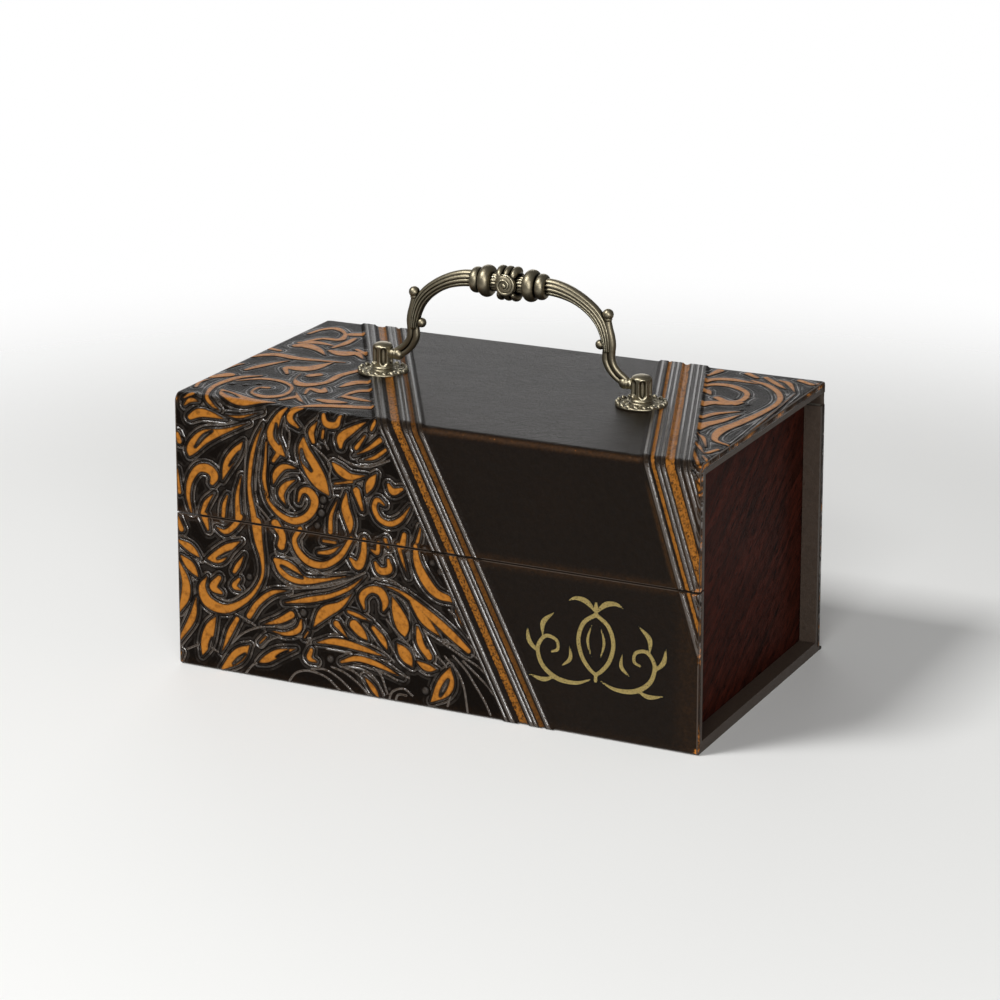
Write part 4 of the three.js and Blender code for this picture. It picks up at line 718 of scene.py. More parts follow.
# Raised lines without caramel, and the small round berries with their size.
raisedLines = [
    [(-55.1, -97.1), (-52.2, -93.6), (-47.3, -92.1), (-40.5, -93.2), (-35, -97.1)],
    [(-46.1, -91.1), (-40.5, -90.6), (-34.9, -93), (-29, -97.6)],
    [(-38.1, -89.1), (-32.9, -90.4), (-27.4, -93.6), (-23.5, -97)],
    [(-33.7, -88.3), (-28.6, -89.7), (-24.2, -93.1), (-20.7, -96.9)],
    [(-30.9, -87.9), (-24.6, -88.3), (-20.3, -91.3), (-17.2, -96.3)],
    [(-28.1, -85.9), (-23, -85.8), (-18.7, -88.8), (-16, -95.4)],
    [(-39.2, -78.1), (-32.8, -77.5), (-26.9, -79.8), (-20.6, -83.2), (-14, -86.4), (-7.5, -88.2)],
    [(-40, -82.7), (-32.1, -82.9), (-25.5, -84.4), (-19.5, -87.1), (-12, -89.8)],
    [(-34.7, -71.9), (-32, -75.5), (-27.3, -77.7), (-21.8, -78.6), (-17.1, -80.4), (-13.2, -83.1)],
    [(-25.6, -71.2), (-23.3, -73.4), (-20.6, -76.6)], [(-18.2, -71.8), (-16.2, -75.2), (-13.2, -79.8)],
    [(-16.2, -68.2), (-12.7, -71.7), (-10, -74.2), (-6.5, -77.3), (-5, -81.4), (-1.5, -85.6)],
    [(-14.9, -58.2), (-10.3, -60), (-7.6, -63.6), (-7.2, -69), (-7.3, -74.1)],
    [(-21.9, -54.1), (-14.9, -53.4), (-9.1, -56.2), (-4.9, -60.3), (-1.4, -64.8), (3.9, -71.2), (11.6, -74),
     (20.4, -76.9)],
    [(5.5, -73.2), (12, -76.4), (20.5, -80.4), (29.1, -86.3)],
    [(6.4, -78), (10.8, -82.4), (13.3, -87), (14.4, -92.3), (15.1, -97.6)],
    [(3.4, -78.4), (7, -81.8), (8.6, -86), (8.6, -91), (7.4, -96)],
    [(9.4, -77.2), (14.4, -81.8), (18.2, -87), (21.6, -92), (23.8, -96.4)],
    [(13.4, -78.6), (20.4, -84.2), (25.7, -88.9), (30.6, -93.2)],
    [(7.8, -60.8), (12.8, -64.4), (17.3, -68.4)],
    [(-15.6, -98.3), (-14, -94.3), (-9.7, -92.5), (-6.2, -94.5)],
    [(-12.9, -97.4), (-11.7, -95), (-8.6, -94.8)],
    [(-47.7, -4.8), (-44.6, -9.1), (-40, -12.4), (-37.6, -15.7), (-38.1, -19.4), (-36.9, -24.3)],
    [(-42.9, 1.6), (-43.4, -6.8), (-41.4, -9.4)], [(-39.8, -2.3), (-39.9, -7), (-38.4, -9.6)],
    [(-55.6, 2.1), (-55.3, -3.6), (-53.7, -5.6), (-54.2, -10.7), (-55, -13), (-53.8, -14.3)],
    [(-50.8, 2.7), (-50.9, -0.9), (-48.9, -2.8)],
    [(-34.4, -11.7), (-29.4, -13.6), (-22.8, -13.8), (-14.6, -10.5)],
    [(-63.7, -7.2), (-62.2, -12.9), (-63.2, -23.9), (-60.9, -30.9), (-54.5, -34.8)],
    [(-67.8, -33), (-64.2, -36.5), (-62.2, -38.5)],
    [(-60, -23.5), (-57.1, -19.1), (-51.9, -17.3), (-48, -20.8), (-43.7, -25.3)],
    [(-54.4, -27.5), (-54.5, -31.1), (-52.1, -33.7)], [(-71, -10.4), (-72.1, -25.1), (-71.9, -37.6)],
    [(-65.8, -12.2), (-67.2, -21.2), (-67.7, -28.6)],
    [(-49.5, -44), (-48.3, -48.6), (-42.8, -50.7), (-37.2, -49.5), (-32.4, -44.8)],
    [(-60.4, -48.9), (-58.8, -51.6), (-51.6, -51.3), (-45.6, -54), (-38.5, -55.5), (-31.8, -54.2)],
    [(-61.2, -53.1), (-60.1, -57.7), (-55.7, -60.7), (-47.7, -61), (-39.7, -58.7), (-31.8, -56)],
    [(-66.8, -68.7), (-61.4, -64.6), (-51.7, -62.3), (-40.1, -59.8), (-31.8, -56.4), (-24.3, -52.3)],
    [(-99.2, -51.2), (-94.3, -53.8), (-91.5, -57.9)],
    [(-87.6, -66.7), (-84.4, -70.3), (-79, -71), (-73.7, -67.6), (-70.8, -65.2)],
    [(-76.7, -75.5), (-72.2, -77), (-68.6, -78.7)],
    [(-78.1, -86.6), (-73.1, -82), (-66.1, -78.7), (-57.6, -77.3), (-52.7, -74.3), (-53.5, -70.4)],
    [(-51.1, -71.5), (-48.7, -75.6), (-50, -78.7)],
    [(-66.2, -86.2), (-61.7, -82.5), (-54.8, -80.2), (-46, -79.9)], [(-27.5, -21.2), (-25.2, -25.6)],
    [(-62, -42), (-55, -45.5), (-50, -54)], [(-97, -92), (-90, -89), (-84, -91)],
    [(98.6, -23), (98.9, -32), (98.6, -39)], [(-73, -97.4), (-69, -93), (-63, -91.6)],
]
berries = [
    (-40.6, -28.1, 1.6), (-41.4, -33, 1.6), (-43.1, -37.9, 1.4), (-70.7, -60.8, 1.4), (-49.1, -70.8, 1.6),
    (-38.5, -86.2, 1.6), (1.7, -44.8, 1.4), (4.8, -47.6, 1.4), (-1.2, -91.8, 1.6), (-1.3, -40.6, 1.4),
    (-15.2, -93.4, 0.9), (-97.6, -13.8, 1.1), (-87.6, 20.9, 1.4), (-82.5, 21.9, 1.4), (-79, 25.1, 1.4),
    (80.5, 81.4, 1.1), (87.1, 76.1, 1.1), (87.5, 69.3, 1.1), (-57.4, 53.8, 1.1),
]
# Stamped foil in the plain field of the lower front: half of a generic citron between two scrolls; heights
# are from the foot.
foilMiddle = 63
foilHalf = [
    [(63, 44, 1.4), (58.5, 40.5, 1.5), (56.6, 34.5, 1.5), (57.9, 28.5, 1.5), (60.6, 24.6, 1.4),
     (63, 22.6, 1.2)],
    [(63, 44, 0.9), (62.6, 46, 0.9), (63, 48, 0.9)],
    [(62.6, 45, 0.5), (59.6, 48, 1.9), (55.8, 48.8, 1.3), (53, 47.6, 0.3)],
    [(61, 20.6, 0.5), (55.6, 18.6, 1.3), (48.6, 19.2, 1.7), (43.2, 23.2, 1.6), (41.6, 29.2, 1.4),
     (44.4, 33.6, 1.3), (48.4, 32.8, 1.2), (49, 29.6, 1.1), (46.8, 28.4, 0.8)],
    [(48, 19.6, 0.4), (43.6, 18, 1.6), (38.4, 19, 0.3)], [(42, 27, 0.4), (38.4, 31, 1.7), (37.6, 36, 0.3)],
    [(43.4, 33.4, 0.4), (43.6, 38.4, 1.8), (47.6, 42.4, 0.3)],
    [(50.6, 24, 0.4), (53.6, 27, 1.4), (53.4, 31.6, 0.3)],
    [(61.4, 40, 0.3), (60, 34.4, 1.0), (61.4, 28.6, 0.3)], [(63, 22.6, 1.0), (63, 20.6, 1.3)],
]
# Rubbed places: across, along the unrolled sheet, reach and strength.
rubbedPlaces = [
    (99.9, -2, 1.6, 1.0), (99.9, -7, 1.3, 0.9), (99.9, -12, 1.2, 0.8), (99.8, 2.4, 2, 0.9),
    (-99.8, 1, 2, 0.8), (98.4, -41.5, 2.0, 1.0), (99.6, -40.2, 2.0, 1.0), (-99.4, -41, 1.4, 0.7),
    (99.8, -96.5, 2.2, 1.0), (-99.6, -97, 2.0, 0.8), (99.8, -46, 1.2, 0.7), (99.8, -52, 1.2, 0.62),
    (99.9, 112, 3.0, 0.9), (99.9, 60, 1.8, 0.7),
]

# Wear in millimetres: where hands run along the front edge, the washes along the seam and the foot, then the
# right-hand end, the strip beside the right-hand band and the very edge.
wear = {
    "edge": (2.1, 1.5, 0.62), "edgeEnds": (-8, 2, 84, 76), "washes": ((-40.9, 3.5, 0.42), (-98, 5, 0.3)),
    "end": (97, 9, 0.34), "patches": (13, 11, 0.1), "beside": (-9.6, 1.3), "besideSpan": (2, -12, -41),
    "rim": (100.1, 0.55),
}


def smooth(low, high, value):
    t = np.clip((value - low) / (high - low), 0, 1)
    return t * t * (3 - 2 * t)


def bell(value, middle, width):
    return np.exp(-((value - middle) / width) ** 2)


def traced(points, step=0.3):
    # A smooth line through given points; any further columns, such as width, run along with it.
    points = np.array(points, float)
    padded = np.vstack([2 * points[0] - points[1], points, 2 * points[-1] - points[-2]])
    line = []
    for a, b, c, d in zip(padded, padded[1:], padded[2:], padded[3:]):
        count = max(2, math.ceil(math.dist(b[:2], c[:2]) / step))
        t = np.linspace(0, 1, count, endpoint=False)[:, None]
        line.append(0.5 * (2 * b + (c - a) * t + (2 * a - 5 * b + 4 * c - d) * t ** 2
                           + (3 * b - a - 3 * c + d) * t ** 3))
    return np.vstack(line + [points[-1:]])


def nearest(across, along, line, reach):
    # Distance from each crossing of the grid to a traced line, less half its width where it has one.
    half = np.maximum(line[:, 2], 0.1) / 2 if line.shape[1] > 2 else np.zeros(len(line))
    low, high = line[:, :2].min(0) - reach - half.max(), line[:, :2].max(0) + reach + half.max()
    columns = slice(*np.searchsorted(across, (low[0], high[0])))
    rows = slice(*np.searchsorted(along, (low[1], high[1])))
    x, v = np.meshgrid(across[columns], along[rows])
    away = np.full(x.shape, np.inf)
    for (px, pv), h in zip(line[:, :2], half):
        away = np.minimum(away, np.hypot(x - px, v - pv) - h)
    return (rows, columns), away


def bandMiddle(band, along, behind):
    tall, deep, bend = sheet["height"], 2 * sheet["halfDepth"], sheet["frontRound"]
    if behind:
        return np.interp(along, (-frontStraight, tall - frontStraight), (band["backFoot"], band["back"]))
    slope, fall = (band["foot"] - band["front"]) / tall, (band["backFoot"] - band["back"]) / tall
    lean = (band["back"] - band["front"]) / deep
    across = edgeLength + deep - bend
    beyond = 20
    places = (-frontStraight, 0, edgeLength, across, across + beyond)
    middles = (band["foot"], band["front"] + slope * bend, band["front"] + lean * bend, band["back"],
               band["back"] + beyond * fall)
    return np.interp(along, places, middles)


def layWear(x, v, offset):
    worn = np.zeros(x.shape)
    for px, pv, reach, strength in rubbedPlaces:
        worn = np.maximum(worn, strength * np.clip(1.25 - np.hypot(x - px, v - pv) / reach, 0, 1))
    place, width, strength = wear["edge"]
    left, leftFull, right, rightFull = wear["edgeEnds"]
    between = smooth(left, leftFull, x) * smooth(right, rightFull, x)
    worn = np.maximum(worn, strength * bell(v, place, width) * between)
    for place, width, strength in wear["washes"]:
        worn = np.maximum(worn, strength * bell(v, place, width))
    place, width, strength = wear["end"]
    worn = np.maximum(worn, strength * bell(x, place, width) * (v < 0))
    wide, tall, strength = wear["patches"]
    worn = np.maximum(worn, strength * (1 + np.sin(x / wide + 1) * np.sin(v / tall)))
    patchy = 0.62 + 0.3 * np.sin(v / 3.1) * np.sin(v / 7.3 + 1)
    high, full, low = wear["besideSpan"]
    beside = bell(offset, *wear["beside"]) * smooth(high, full, v) * (v > low)
    worn = np.maximum(worn, (0.5 + 0.16 * patchy) * beside)
    return np.maximum(worn, patchy * bell(np.abs(x), *wear["rim"]))


def layOrnament(across, along, behind):
    # The back carries the front's ornament the other way round, without its wear and its foil.
    flip = -1 if behind else 1
    x, v = np.meshgrid(across, along)
    inlay, line, berry, foil, fields = (np.full(x.shape, sheet["far"]) for _ in range(5))
    for stroke in strokes:
        if behind and min(place for _, place, _ in stroke) >= 0:
            continue
        run = traced([(flip * px, pv, width) for px, pv, width in stroke])
        place, away = nearest(across, along, run, sheet["strokeReach"])
        if stroke[0][:2] in slits:
            width = sheet["slit"] * run[:, 2].max()
            middle = traced([(flip * px, pv) for px, pv in slits[stroke[0][:2]]])
            taper = width * (0.35 + 0.65 * np.sin(np.linspace(0.15, math.pi - 0.15, len(middle))))
            cutPlace, cut = nearest(across, along, np.column_stack([middle, taper]), sheet["strokeReach"])
            line[cutPlace] = np.minimum(line[cutPlace], cut + 0.5 * width)
            whole = np.full(x.shape, sheet["far"])
            whole[cutPlace] = cut
            away = np.maximum(away, -whole[place])
        inlay[place] = np.minimum(inlay[place], away)
    for points in raisedLines:
        run = traced([(flip * px, pv) for px, pv in points])
        place, away = nearest(across, along, run, sheet["lineReach"])
        line[place] = np.minimum(line[place], away)
    for px, pv, radius in berries:
        berry = np.minimum(berry, np.hypot(x - flip * px, v - pv) - radius)

    ribs, offsets = np.zeros(x.shape), {}
    for name, band in bands.items():
        offset = (x - bandMiddle(band, along, behind)[:, None]) * band["outward"]
        offsets[name] = np.clip(offset, -30, 30)
        fields = np.minimum(fields, band["border"] - offset)
        for place, _ in band["ribs"]:
            rise = smooth(sheet["ribFoot"], sheet["ribShoulder"], np.abs(offset - place))
            ribs = np.maximum(ribs, sheet["rib"] * rise)
    ornament = smooth(sheet["border"], -sheet["border"], fields)
    inlay = np.maximum(inlay, fields)
    height = sheet["plateau"] * smooth(0.5, -0.6, inlay)
    height = np.maximum(height, sheet["line"] * smooth(0.9, 0, line))
    height = np.maximum(height, sheet["berry"] * smooth(0.3, -1.2, berry)) * ornament + ribs

    worn = np.zeros(x.shape) if behind else layWear(x, v, offsets["rightBand"])
    for points in ([] if behind else foilHalf):
        for side in (1, -1):
            run = traced([(foilMiddle + side * (px - foilMiddle), z - frontStraight, width)
                          for px, z, width in points])
            place, away = nearest(across, along, run, sheet["foilReach"])
            foil[place] = np.minimum(foil[place], away)
    marks = {"inlay": inlay, "ornament": ornament, "line": line, "berry": berry, "worn": worn, "foil": foil}
    return height, {**marks, **offsets}


def foldedPath(corners, rounds, start=0.0):
    # A section of straight runs and round corners; gives place and outward direction at any length along it.
    pieces, at = [], Vector(corners[0])
    for corner, after, radius in zip(corners[1:], corners[2:], rounds):
        corner, after = Vector(corner), Vector(after)
        inward, outward = (corner - at).normalized(), (after - corner).normalized()
        pieces.append(("run", at, inward, (corner - at).length - radius))
        middle = corner - inward * radius + outward * radius
        pieces.append(("bend", middle, inward, radius * math.pi / 2, radius, outward))
        at = corner + outward * radius
    last = Vector(corners[-1])
    pieces.append(("run", at, (last - at).normalized(), (last - at).length))

    def place(length):
        length += start
        for piece in pieces:
            if length <= piece[3] or piece is pieces[-1]:
                break
            length -= piece[3]
        if piece[0] == "run":
            direction = piece[2]
            return piece[1] + direction * length, Vector((-direction.y, direction.x))
        turn = length / piece[4]
        out = -piece[5] * math.cos(turn) + piece[2] * math.sin(turn)
        return piece[1] + out * piece[4], out

    return place, sum(piece[3] for piece in pieces) - start


def spaced(low, high, cell):
    # Even cells, closer together where the sheet turns down at its edges.
    close = np.array([0, 0.06, 0.22, 0.5, 0.95])
    count = math.ceil((high - low - 2 * close[-1]) / cell) + 1
    even = np.linspace(low + close[-1], high - close[-1], count)
    return np.concatenate([low + close[:-1], even, (high - close[:-1])[::-1]])


def skin(name, body, corners, rounds, along, outward=1, start=0.0, behind=False):
    path, length = foldedPath(corners, rounds, start)
    across = spaced(-sheet["halfLength"] - 0.1, sheet["halfLength"] + 0.1, sheet["cell"])
    lengths = spaced(0, length, sheet["cell"])
    height, marks = layOrnament(across, lengths + along, behind)
    # The glued sheet is never quite flat.
    wave = np.random.default_rng(5).normal(size=(3, 4))
    x, s = np.meshgrid(across, lengths)
    slack = sum(np.sin(x * a / 19 + s * b / 23 + c * 3) * d for a, b, c, d in wave)
    height = height + sheet["lift"] + sheet["slack"] * slack
    # It flattens towards its edges and turns down over them.
    turn = sheet["turn"]
    sideways = np.clip(1 - (np.abs(across[0]) - np.abs(x)) / turn, 0, 1)
    endways = np.clip(1 - np.minimum(s, length - s) / (turn / 2), 0, 1)
    flat = smooth(0.5, 1, np.clip(np.hypot(sideways, endways), 0, 1))
    height = height * (1 - flat) + sheet["lift"] * flat * 0.5
    drop = np.maximum(1 - np.sqrt(1 - sideways ** 2), 0.5 * (1 - np.sqrt(1 - endways ** 2)))
    height -= turn * drop
    # One more row all round makes the skirt, and two points a row carry the flat underside.
    height = np.pad(height, 1, constant_values=-sheet["skirt"] - turn)
    height[0, :] = height[-1, :] = -sheet["skirt"] - turn / 2
    across, lengths = (np.concatenate([v[:1], v, v[-1:]]) for v in (across, lengths))
    rows, columns = len(lengths), len(across)
    places = [path(v) for v in lengths]
    middle = np.array([place for place, _ in places])
    out = np.array([direction for _, direction in places]) * outward
    points = np.zeros((rows, columns, 3))
    points[..., 0] = across
    points[..., 1:] = middle[:, None] + out[:, None] * height[..., None]
    depth = -sheet["depth"] - turn
    under = [(side * across[-1], *(middle[i] + out[i] * depth)) for side in (-1, 1) for i in range(rows)]
    points = np.vstack([points.reshape(-1, 3), under])
    left, right = rows * columns, rows * columns + rows
    faces = gridFaces(rows, columns)
    for i in range(rows - 1):
        a, b = i * columns, (i + 1) * columns
        faces += [(a, b, left + i + 1, left + i), (b - 1, right + i, right + i + 1, b + columns - 1),
                  (left + i, left + i + 1, right + i + 1, right + i)]
    last = (rows - 1) * columns
    faces += [[left, right, *range(columns - 1, -1, -1)],
              [right + rows - 1, left + rows - 1, *range(last, last + columns)]]
    piece = meshPiece(name, points, faces, "leatherette", body, finish="embossed")
    for mark, values in marks.items():
        whole = np.pad(values, 1, mode="edge").reshape(-1)
        setMark(piece.data, mark, np.concatenate([whole, np.full(2 * rows, whole[0])]))
    print("stage:", name, len(points), "points")


half, top, foot = sheet["halfDepth"], sheet["height"], sheet["edgeRound"]
skin("lid_skin", "lid", [(-half, sheet["flapFoot"]), (-half, top), (half, top), (half, sheet["lidFoot"])],
     [sheet["frontRound"], foot], sheet["flapFoot"] - frontStraight)
# The lower skins start a little in under the case, round its foot.
along = sheet["footIn"] - foot * math.pi / 2 + foot - frontStraight
skin("front_skin", "case", [(-half + foot, 0), (-half, 0), (-half, sheet["frontTop"])], [foot], along,
     start=sheet["footIn"])
skin("back_skin", "case", [(half - foot, 0), (half, 0), (half, sheet["hingeFoot"])], [foot], along, -1,
     start=sheet["footIn"], behind=True)

# Brass work


class Casting:
    # Collects closed shells into one piece, in millimetres.
    def __init__(self):
        self.vertices, self.faces = [], []

    def add(self, rings, closed=False):
        rings = np.asarray(rings, float)
        count, around = rings.shape[:2]
        base = sum(len(v) for v in self.vertices)
        self.vertices.append(rings.reshape(-1, 3))
        last = count if closed else count - 1
        for i in range(last):
            a, b = base + i * around, base + (i + 1) % count * around
            self.faces += [(a + j, a + (j + 1) % around, b + (j + 1) % around, b + j) for j in range(around)]
        if not closed:
            self.faces += [list(range(base + around - 1, base - 1, -1)),
                           list(range(base + (count - 1) * around, base + count * around))]

    def ball(self, centre, radii, rows=12, around=18):
        tilt = np.linspace(0.04, math.pi - 0.04, rows)[:, None]
        turn = np.linspace(0, 2 * math.pi, around, endpoint=False)[None]
        unit = np.stack([np.sin(tilt) * np.cos(turn), np.sin(tilt) * np.sin(turn),
                         np.cos(tilt) * np.ones_like(turn)], -1)
        self.add(np.asarray(centre) + unit * np.asarray(radii))

    def turned(self, profile, centre, axis, around=48):
        # Profile rows are distance along the axis and radius.
        along = np.eye(3)[axis]
        one, two = np.eye(3)[(axis + 1) % 3], np.eye(3)[(axis + 2) % 3]
        turn = np.linspace(0, 2 * math.pi, around, endpoint=False)
        circle = np.cos(turn)[:, None] * one + np.sin(turn)[:, None] * two
        centre = np.asarray(centre)
        self.add([centre + along * place + circle * max(radius, 0.02) for place, radius in profile])

    def tube(self, line, radii, normal, around=14):
        # A round rod along a line; normal is the direction its second axis leans to.
        line = np.asarray(line, float)
        ahead = np.gradient(line, axis=0)
        ahead /= np.linalg.norm(ahead, axis=1, keepdims=True)
        side = np.cross(ahead, np.broadcast_to(np.asarray(normal, float), line.shape))
        side /= np.linalg.norm(side, axis=1, keepdims=True)
        lift = np.cross(side, ahead)
        turn = np.linspace(0, 2 * math.pi, around, endpoint=False)[:, None]
        radii = np.broadcast_to(np.asarray(radii, float), len(line))
        self.add([point + radius * (np.cos(turn) * one + np.sin(turn) * two)
                  for point, radius, one, two in zip(line, radii, side, lift)])

    def takeBothHands(self, arm):
        # The arm as it is, and its mirror image across the middle.
        for hand in (1, -1):
            base = sum(len(v) for v in self.vertices)
            self.vertices += [v * (hand, 1, 1) for v in arm.vertices]
            self.faces += [[base + i for i in face] for face in arm.faces]

    def piece(self, name, body, *replaced, slot="antique_brass", work=None):
        return meshPiece(name, np.vstack(self.vertices), self.faces, slot, body, *replaced, work=work)


# Sizes in millimetres, the same as the solids they stand for.
fitting = {
    "middle": 3.5, "span": 50.5, "postFoot": 103, "postHeight": 9.2, "postRadius": 3.55, "dome": 1.5,
    "flutes": 6, "fluteWidth": 1.22, "fluteDepth": 1.15, "fluteRim": 0.12, "fluteFoot": 1.2, "fluteHead": 1.5,
    "footFlare": 0.45, "leatherTop": 101, "rosetteRadius": 9.65, "hub": 4.4, "loopsIn": 1.1, "pivot": 108.3,
    "rise": 31, "pin": 2.6, "pinRadius": 1.2, "eye": 2.1,
}
# The values of the tree that makes what repeats on a rosette.
rosetteWork = {
    "Gadroons": 18, "Gadroon inset": 1.2, "Gadroon size": (0.78, 1.05, 0.89), "Gadroon tilt": (0, 0.165, 0),
    "Gadroon lift": 1.1, "Loops": 10, "Loop size": (1.75, 1.15, 1), "Loop lean": (0, 0, math.pi / 6),
    "Loop lift": 0.75, "Loop points": 22, "Wire": 0.36, "Wire sides": 8, "Pip": 0.6, "Pip lift": 0.85,
    "Ball segments": 16, "Ball rings": 10,
}


def flutedPost(side):
    middle, foot = fitting["middle"] + side * fitting["span"], fitting["postFoot"]
    radius, tall, dome, width = (fitting[key] for key in ("postRadius", "postHeight", "dome", "fluteWidth"))
    shoulder = tall - dome
    over = dome * np.sin(np.linspace(0.05, 1.56, 14))
    heights = np.concatenate([np.linspace(0, shoulder, 52), shoulder + over])
    turn = np.linspace(0, 2 * math.pi, 132, endpoint=False)
    step = 2 * math.pi / fitting["flutes"]
    aside = (np.mod(turn + step / 2, step) - step / 2) * radius
    low, high = fitting["fluteFoot"] + width, tall - fitting["fluteHead"] - width
    rings = []
    for up in heights:
        over = max(0.0, up - shoulder) / dome
        base = radius * (1 - 0.999 * (1 - math.sqrt(max(0.0, 1 - over ** 2.2))) ** 0.9)
        base += fitting["footFlare"] * math.exp(-(up / fitting["footFlare"]) ** 2)
        away = np.hypot(aside, max(0.0, up - high, low - up)) - width
        cut = fitting["fluteDepth"] * smooth(0.12, -0.6, away)
        rim = fitting["fluteRim"] * bell(away, 0.28, 0.2)
        r = np.maximum(base - cut + rim * (1 - over), 0.02)
        level = np.full(len(turn), foot + up)
        rings.append(np.stack([middle + r * np.cos(turn), r * np.sin(turn), level], 1))
    casting = Casting()
    casting.add(rings)
    name = "left" if side < 0 else "right"
    casting.piece("fluted_post_" + name, "lid", "post_" + name)


def rosetteTree():
    # Gadroons round the edge, and pierced work inside them: leaning loops with a pip where each pair meets.
    tree = bpy.data.node_groups.new("rosette work", "GeometryNodeTree")
    node = partial(addNode, tree)
    tree.interface.new_socket("Turned parts", in_out="INPUT", socket_type="NodeSocketGeometry")
    tree.interface.new_socket("Piece", in_out="OUTPUT", socket_type="NodeSocketGeometry")
    kinds = {int: "NodeSocketInt", float: "NodeSocketFloat", tuple: "NodeSocketVector"}
    placing = {"Edge circle": 1.0, "Loop circle": 1.0, "Centre": (0, 0, 0)}
    for name, value in {**rosetteWork, **placing}.items():
        socket = tree.interface.new_socket(name, in_out="INPUT", socket_type=kinds[type(value)])
        socket.default_value = value
    given = node("NodeGroupInput").outputs
    ball = node("GeometryNodeMeshUVSphere",
                {"Segments": given["Ball segments"], "Rings": given["Ball rings"]})
    gadroon = node("GeometryNodeTransform", {"Geometry": ball, "Rotation": given["Gadroon tilt"],
                                             "Scale": given["Gadroon size"]})
    oval = node("GeometryNodeCurvePrimitiveCircle", {"Resolution": given["Loop points"], "Radius": 1})
    oval = node("GeometryNodeTransform", {"Geometry": oval, "Rotation": given["Loop lean"],
                                          "Scale": given["Loop size"]})
    wire = node("GeometryNodeCurvePrimitiveCircle",
                {"Resolution": given["Wire sides"], "Radius": given["Wire"]})
    loop = node("GeometryNodeCurveToMesh", {"Curve": oval, "Profile Curve": wire})
    between = node("ShaderNodeMath", {0: math.pi, 1: given["Loops"]}, operation="DIVIDE")
    between = node("ShaderNodeCombineXYZ", {"Z": between})
    place = node("GeometryNodeInputPosition")
    parts = [given["Turned parts"]]
    for part, count, circle, lift, size, turn in (
        (gadroon, "Gadroons", "Edge circle", "Gadroon lift", 1, (0, 0, 0)),
        (loop, "Loops", "Loop circle", "Loop lift", 1, (0, 0, 0)),
        (ball, "Loops", "Loop circle", "Pip lift", given["Pip"], between),
    ):
        places = node("GeometryNodeMeshCircle", {"Vertices": given[count], "Radius": given[circle]})
        places = node("GeometryNodeTransform", {"Geometry": places, "Rotation": turn})
        outward = node("FunctionNodeAlignRotationToVector", {"Vector": place}, axis="X")
        size = node("ShaderNodeCombineXYZ", {0: size, 1: size, 2: size})
        placed = node("GeometryNodeInstanceOnPoints",
                      {"Points": places, "Instance": part, "Rotation": outward, "Scale": size})
        lifted = node("ShaderNodeCombineXYZ", {"Z": given[lift]})
        lifted = node("ShaderNodeVectorMath", {0: lifted, 1: given["Centre"]})
        lifted = node("ShaderNodeVectorMath", {0: lifted, "Scale": mm}, operation="SCALE")
        placed = node("GeometryNodeTransform",
                      {"Geometry": placed, "Translation": lifted, "Scale": (mm, mm, mm)})
        parts.append(placed.outputs[0])
    joined = node("GeometryNodeJoinGeometry")
    for part in reversed(parts):
        tree.links.new(part, joined.inputs[0])
    whole = node("GeometryNodeRealizeInstances", {"Geometry": joined})
    whole = node("GeometryNodeSetMaterial", {"Geometry": whole, "Material": finishes["antique_brass"]})
    node("NodeGroupOutput", {"Piece": whole})
    return tree


def piercedRosette(side, tree):
    centre = (fitting["middle"] + side * fitting["span"], 0, fitting["leatherTop"])
    radius, hub = fitting["rosetteRadius"], fitting["hub"]
    casting = Casting()
    # The flat outer ring and the stepped hub that the post stands on.
    casting.turned([(0.1, radius - 2.2), (0.1, radius - 0.5), (0.9, radius - 0.45), (1.2, radius - 1.0),
                    (1.2, radius - 1.8), (0.9, radius - 2.2)], centre, 2, 90)
    casting.turned([(0.05, hub), (1.1, hub), (1.5, hub - 0.3), (1.62, hub - 0.7), (1.98, hub - 0.8),
                    (1.99, hub / 2)], centre, 2, 60)
    values = {**rosetteWork, "Edge circle": radius - rosetteWork["Gadroon inset"],
              "Loop circle": (radius + hub) / 2 - fitting["loopsIn"], "Centre": centre}
    name = "left" if side < 0 else "right"
    casting.piece("pierced_rosette_" + name, "lid", "rosette_" + name, work=(tree, values))


# Places along one half of the bail, as shares of its half span and its rise; other sizes in millimetres.
bailLines = {
    "arch": [(0.27, 1.01), (0.345, 1.003), (0.42, 0.977), (0.497, 0.932), (0.572, 0.865), (0.642, 0.775),
             (0.693, 0.67), (0.722, 0.56), (0.738, 0.45), (0.745, 0.34)],
    "archWidth": [0.96, 0.96, 0.91, 0.83, 0.78, 0.77, 0.74, 0.66, 0.55, 0.4],
    "outer": [(0.746, 0.77), (0.746, 0.69), (0.756, 0.6), (0.77, 0.51), (0.777, 0.42), (0.774, 0.33),
              (0.777, 0.25), (0.795, 0.177), (0.83, 0.11), (0.87, 0.06), (0.9, 0.02)],
    "inner": [(0.69, 0.412), (0.718, 0.42), (0.732, 0.365), (0.731, 0.3), (0.731, 0.24), (0.746, 0.175),
              (0.771, 0.11), (0.806, 0.052), (0.845, 0.01), (0.88, -0.015), (0.9, -0.02)],
    "coreRadius": 3.2, "reedDepth": 2.1, "reeds": 4, "outerRadius": 1.45, "innerRadius": 1.3,
    "smallBead": (12.6, 4.7, 3.6), "largeBead": (8.6, 5.8, 4.3), "knuckleRadius": 4.9, "knuckleWidth": 4.7,
    "rolls": 3, "rollStep": 2.9, "rollRadius": 1.5, "rollEnds": (34, 146), "grip": 14.4, "gripReeds": 16,
    "boss": (4.1, 1.6, 4.1), "bossPip": (1.0, 0.7, 1.0), "coil": 1.85, "coilTurns": (0.6, 2.15),
}


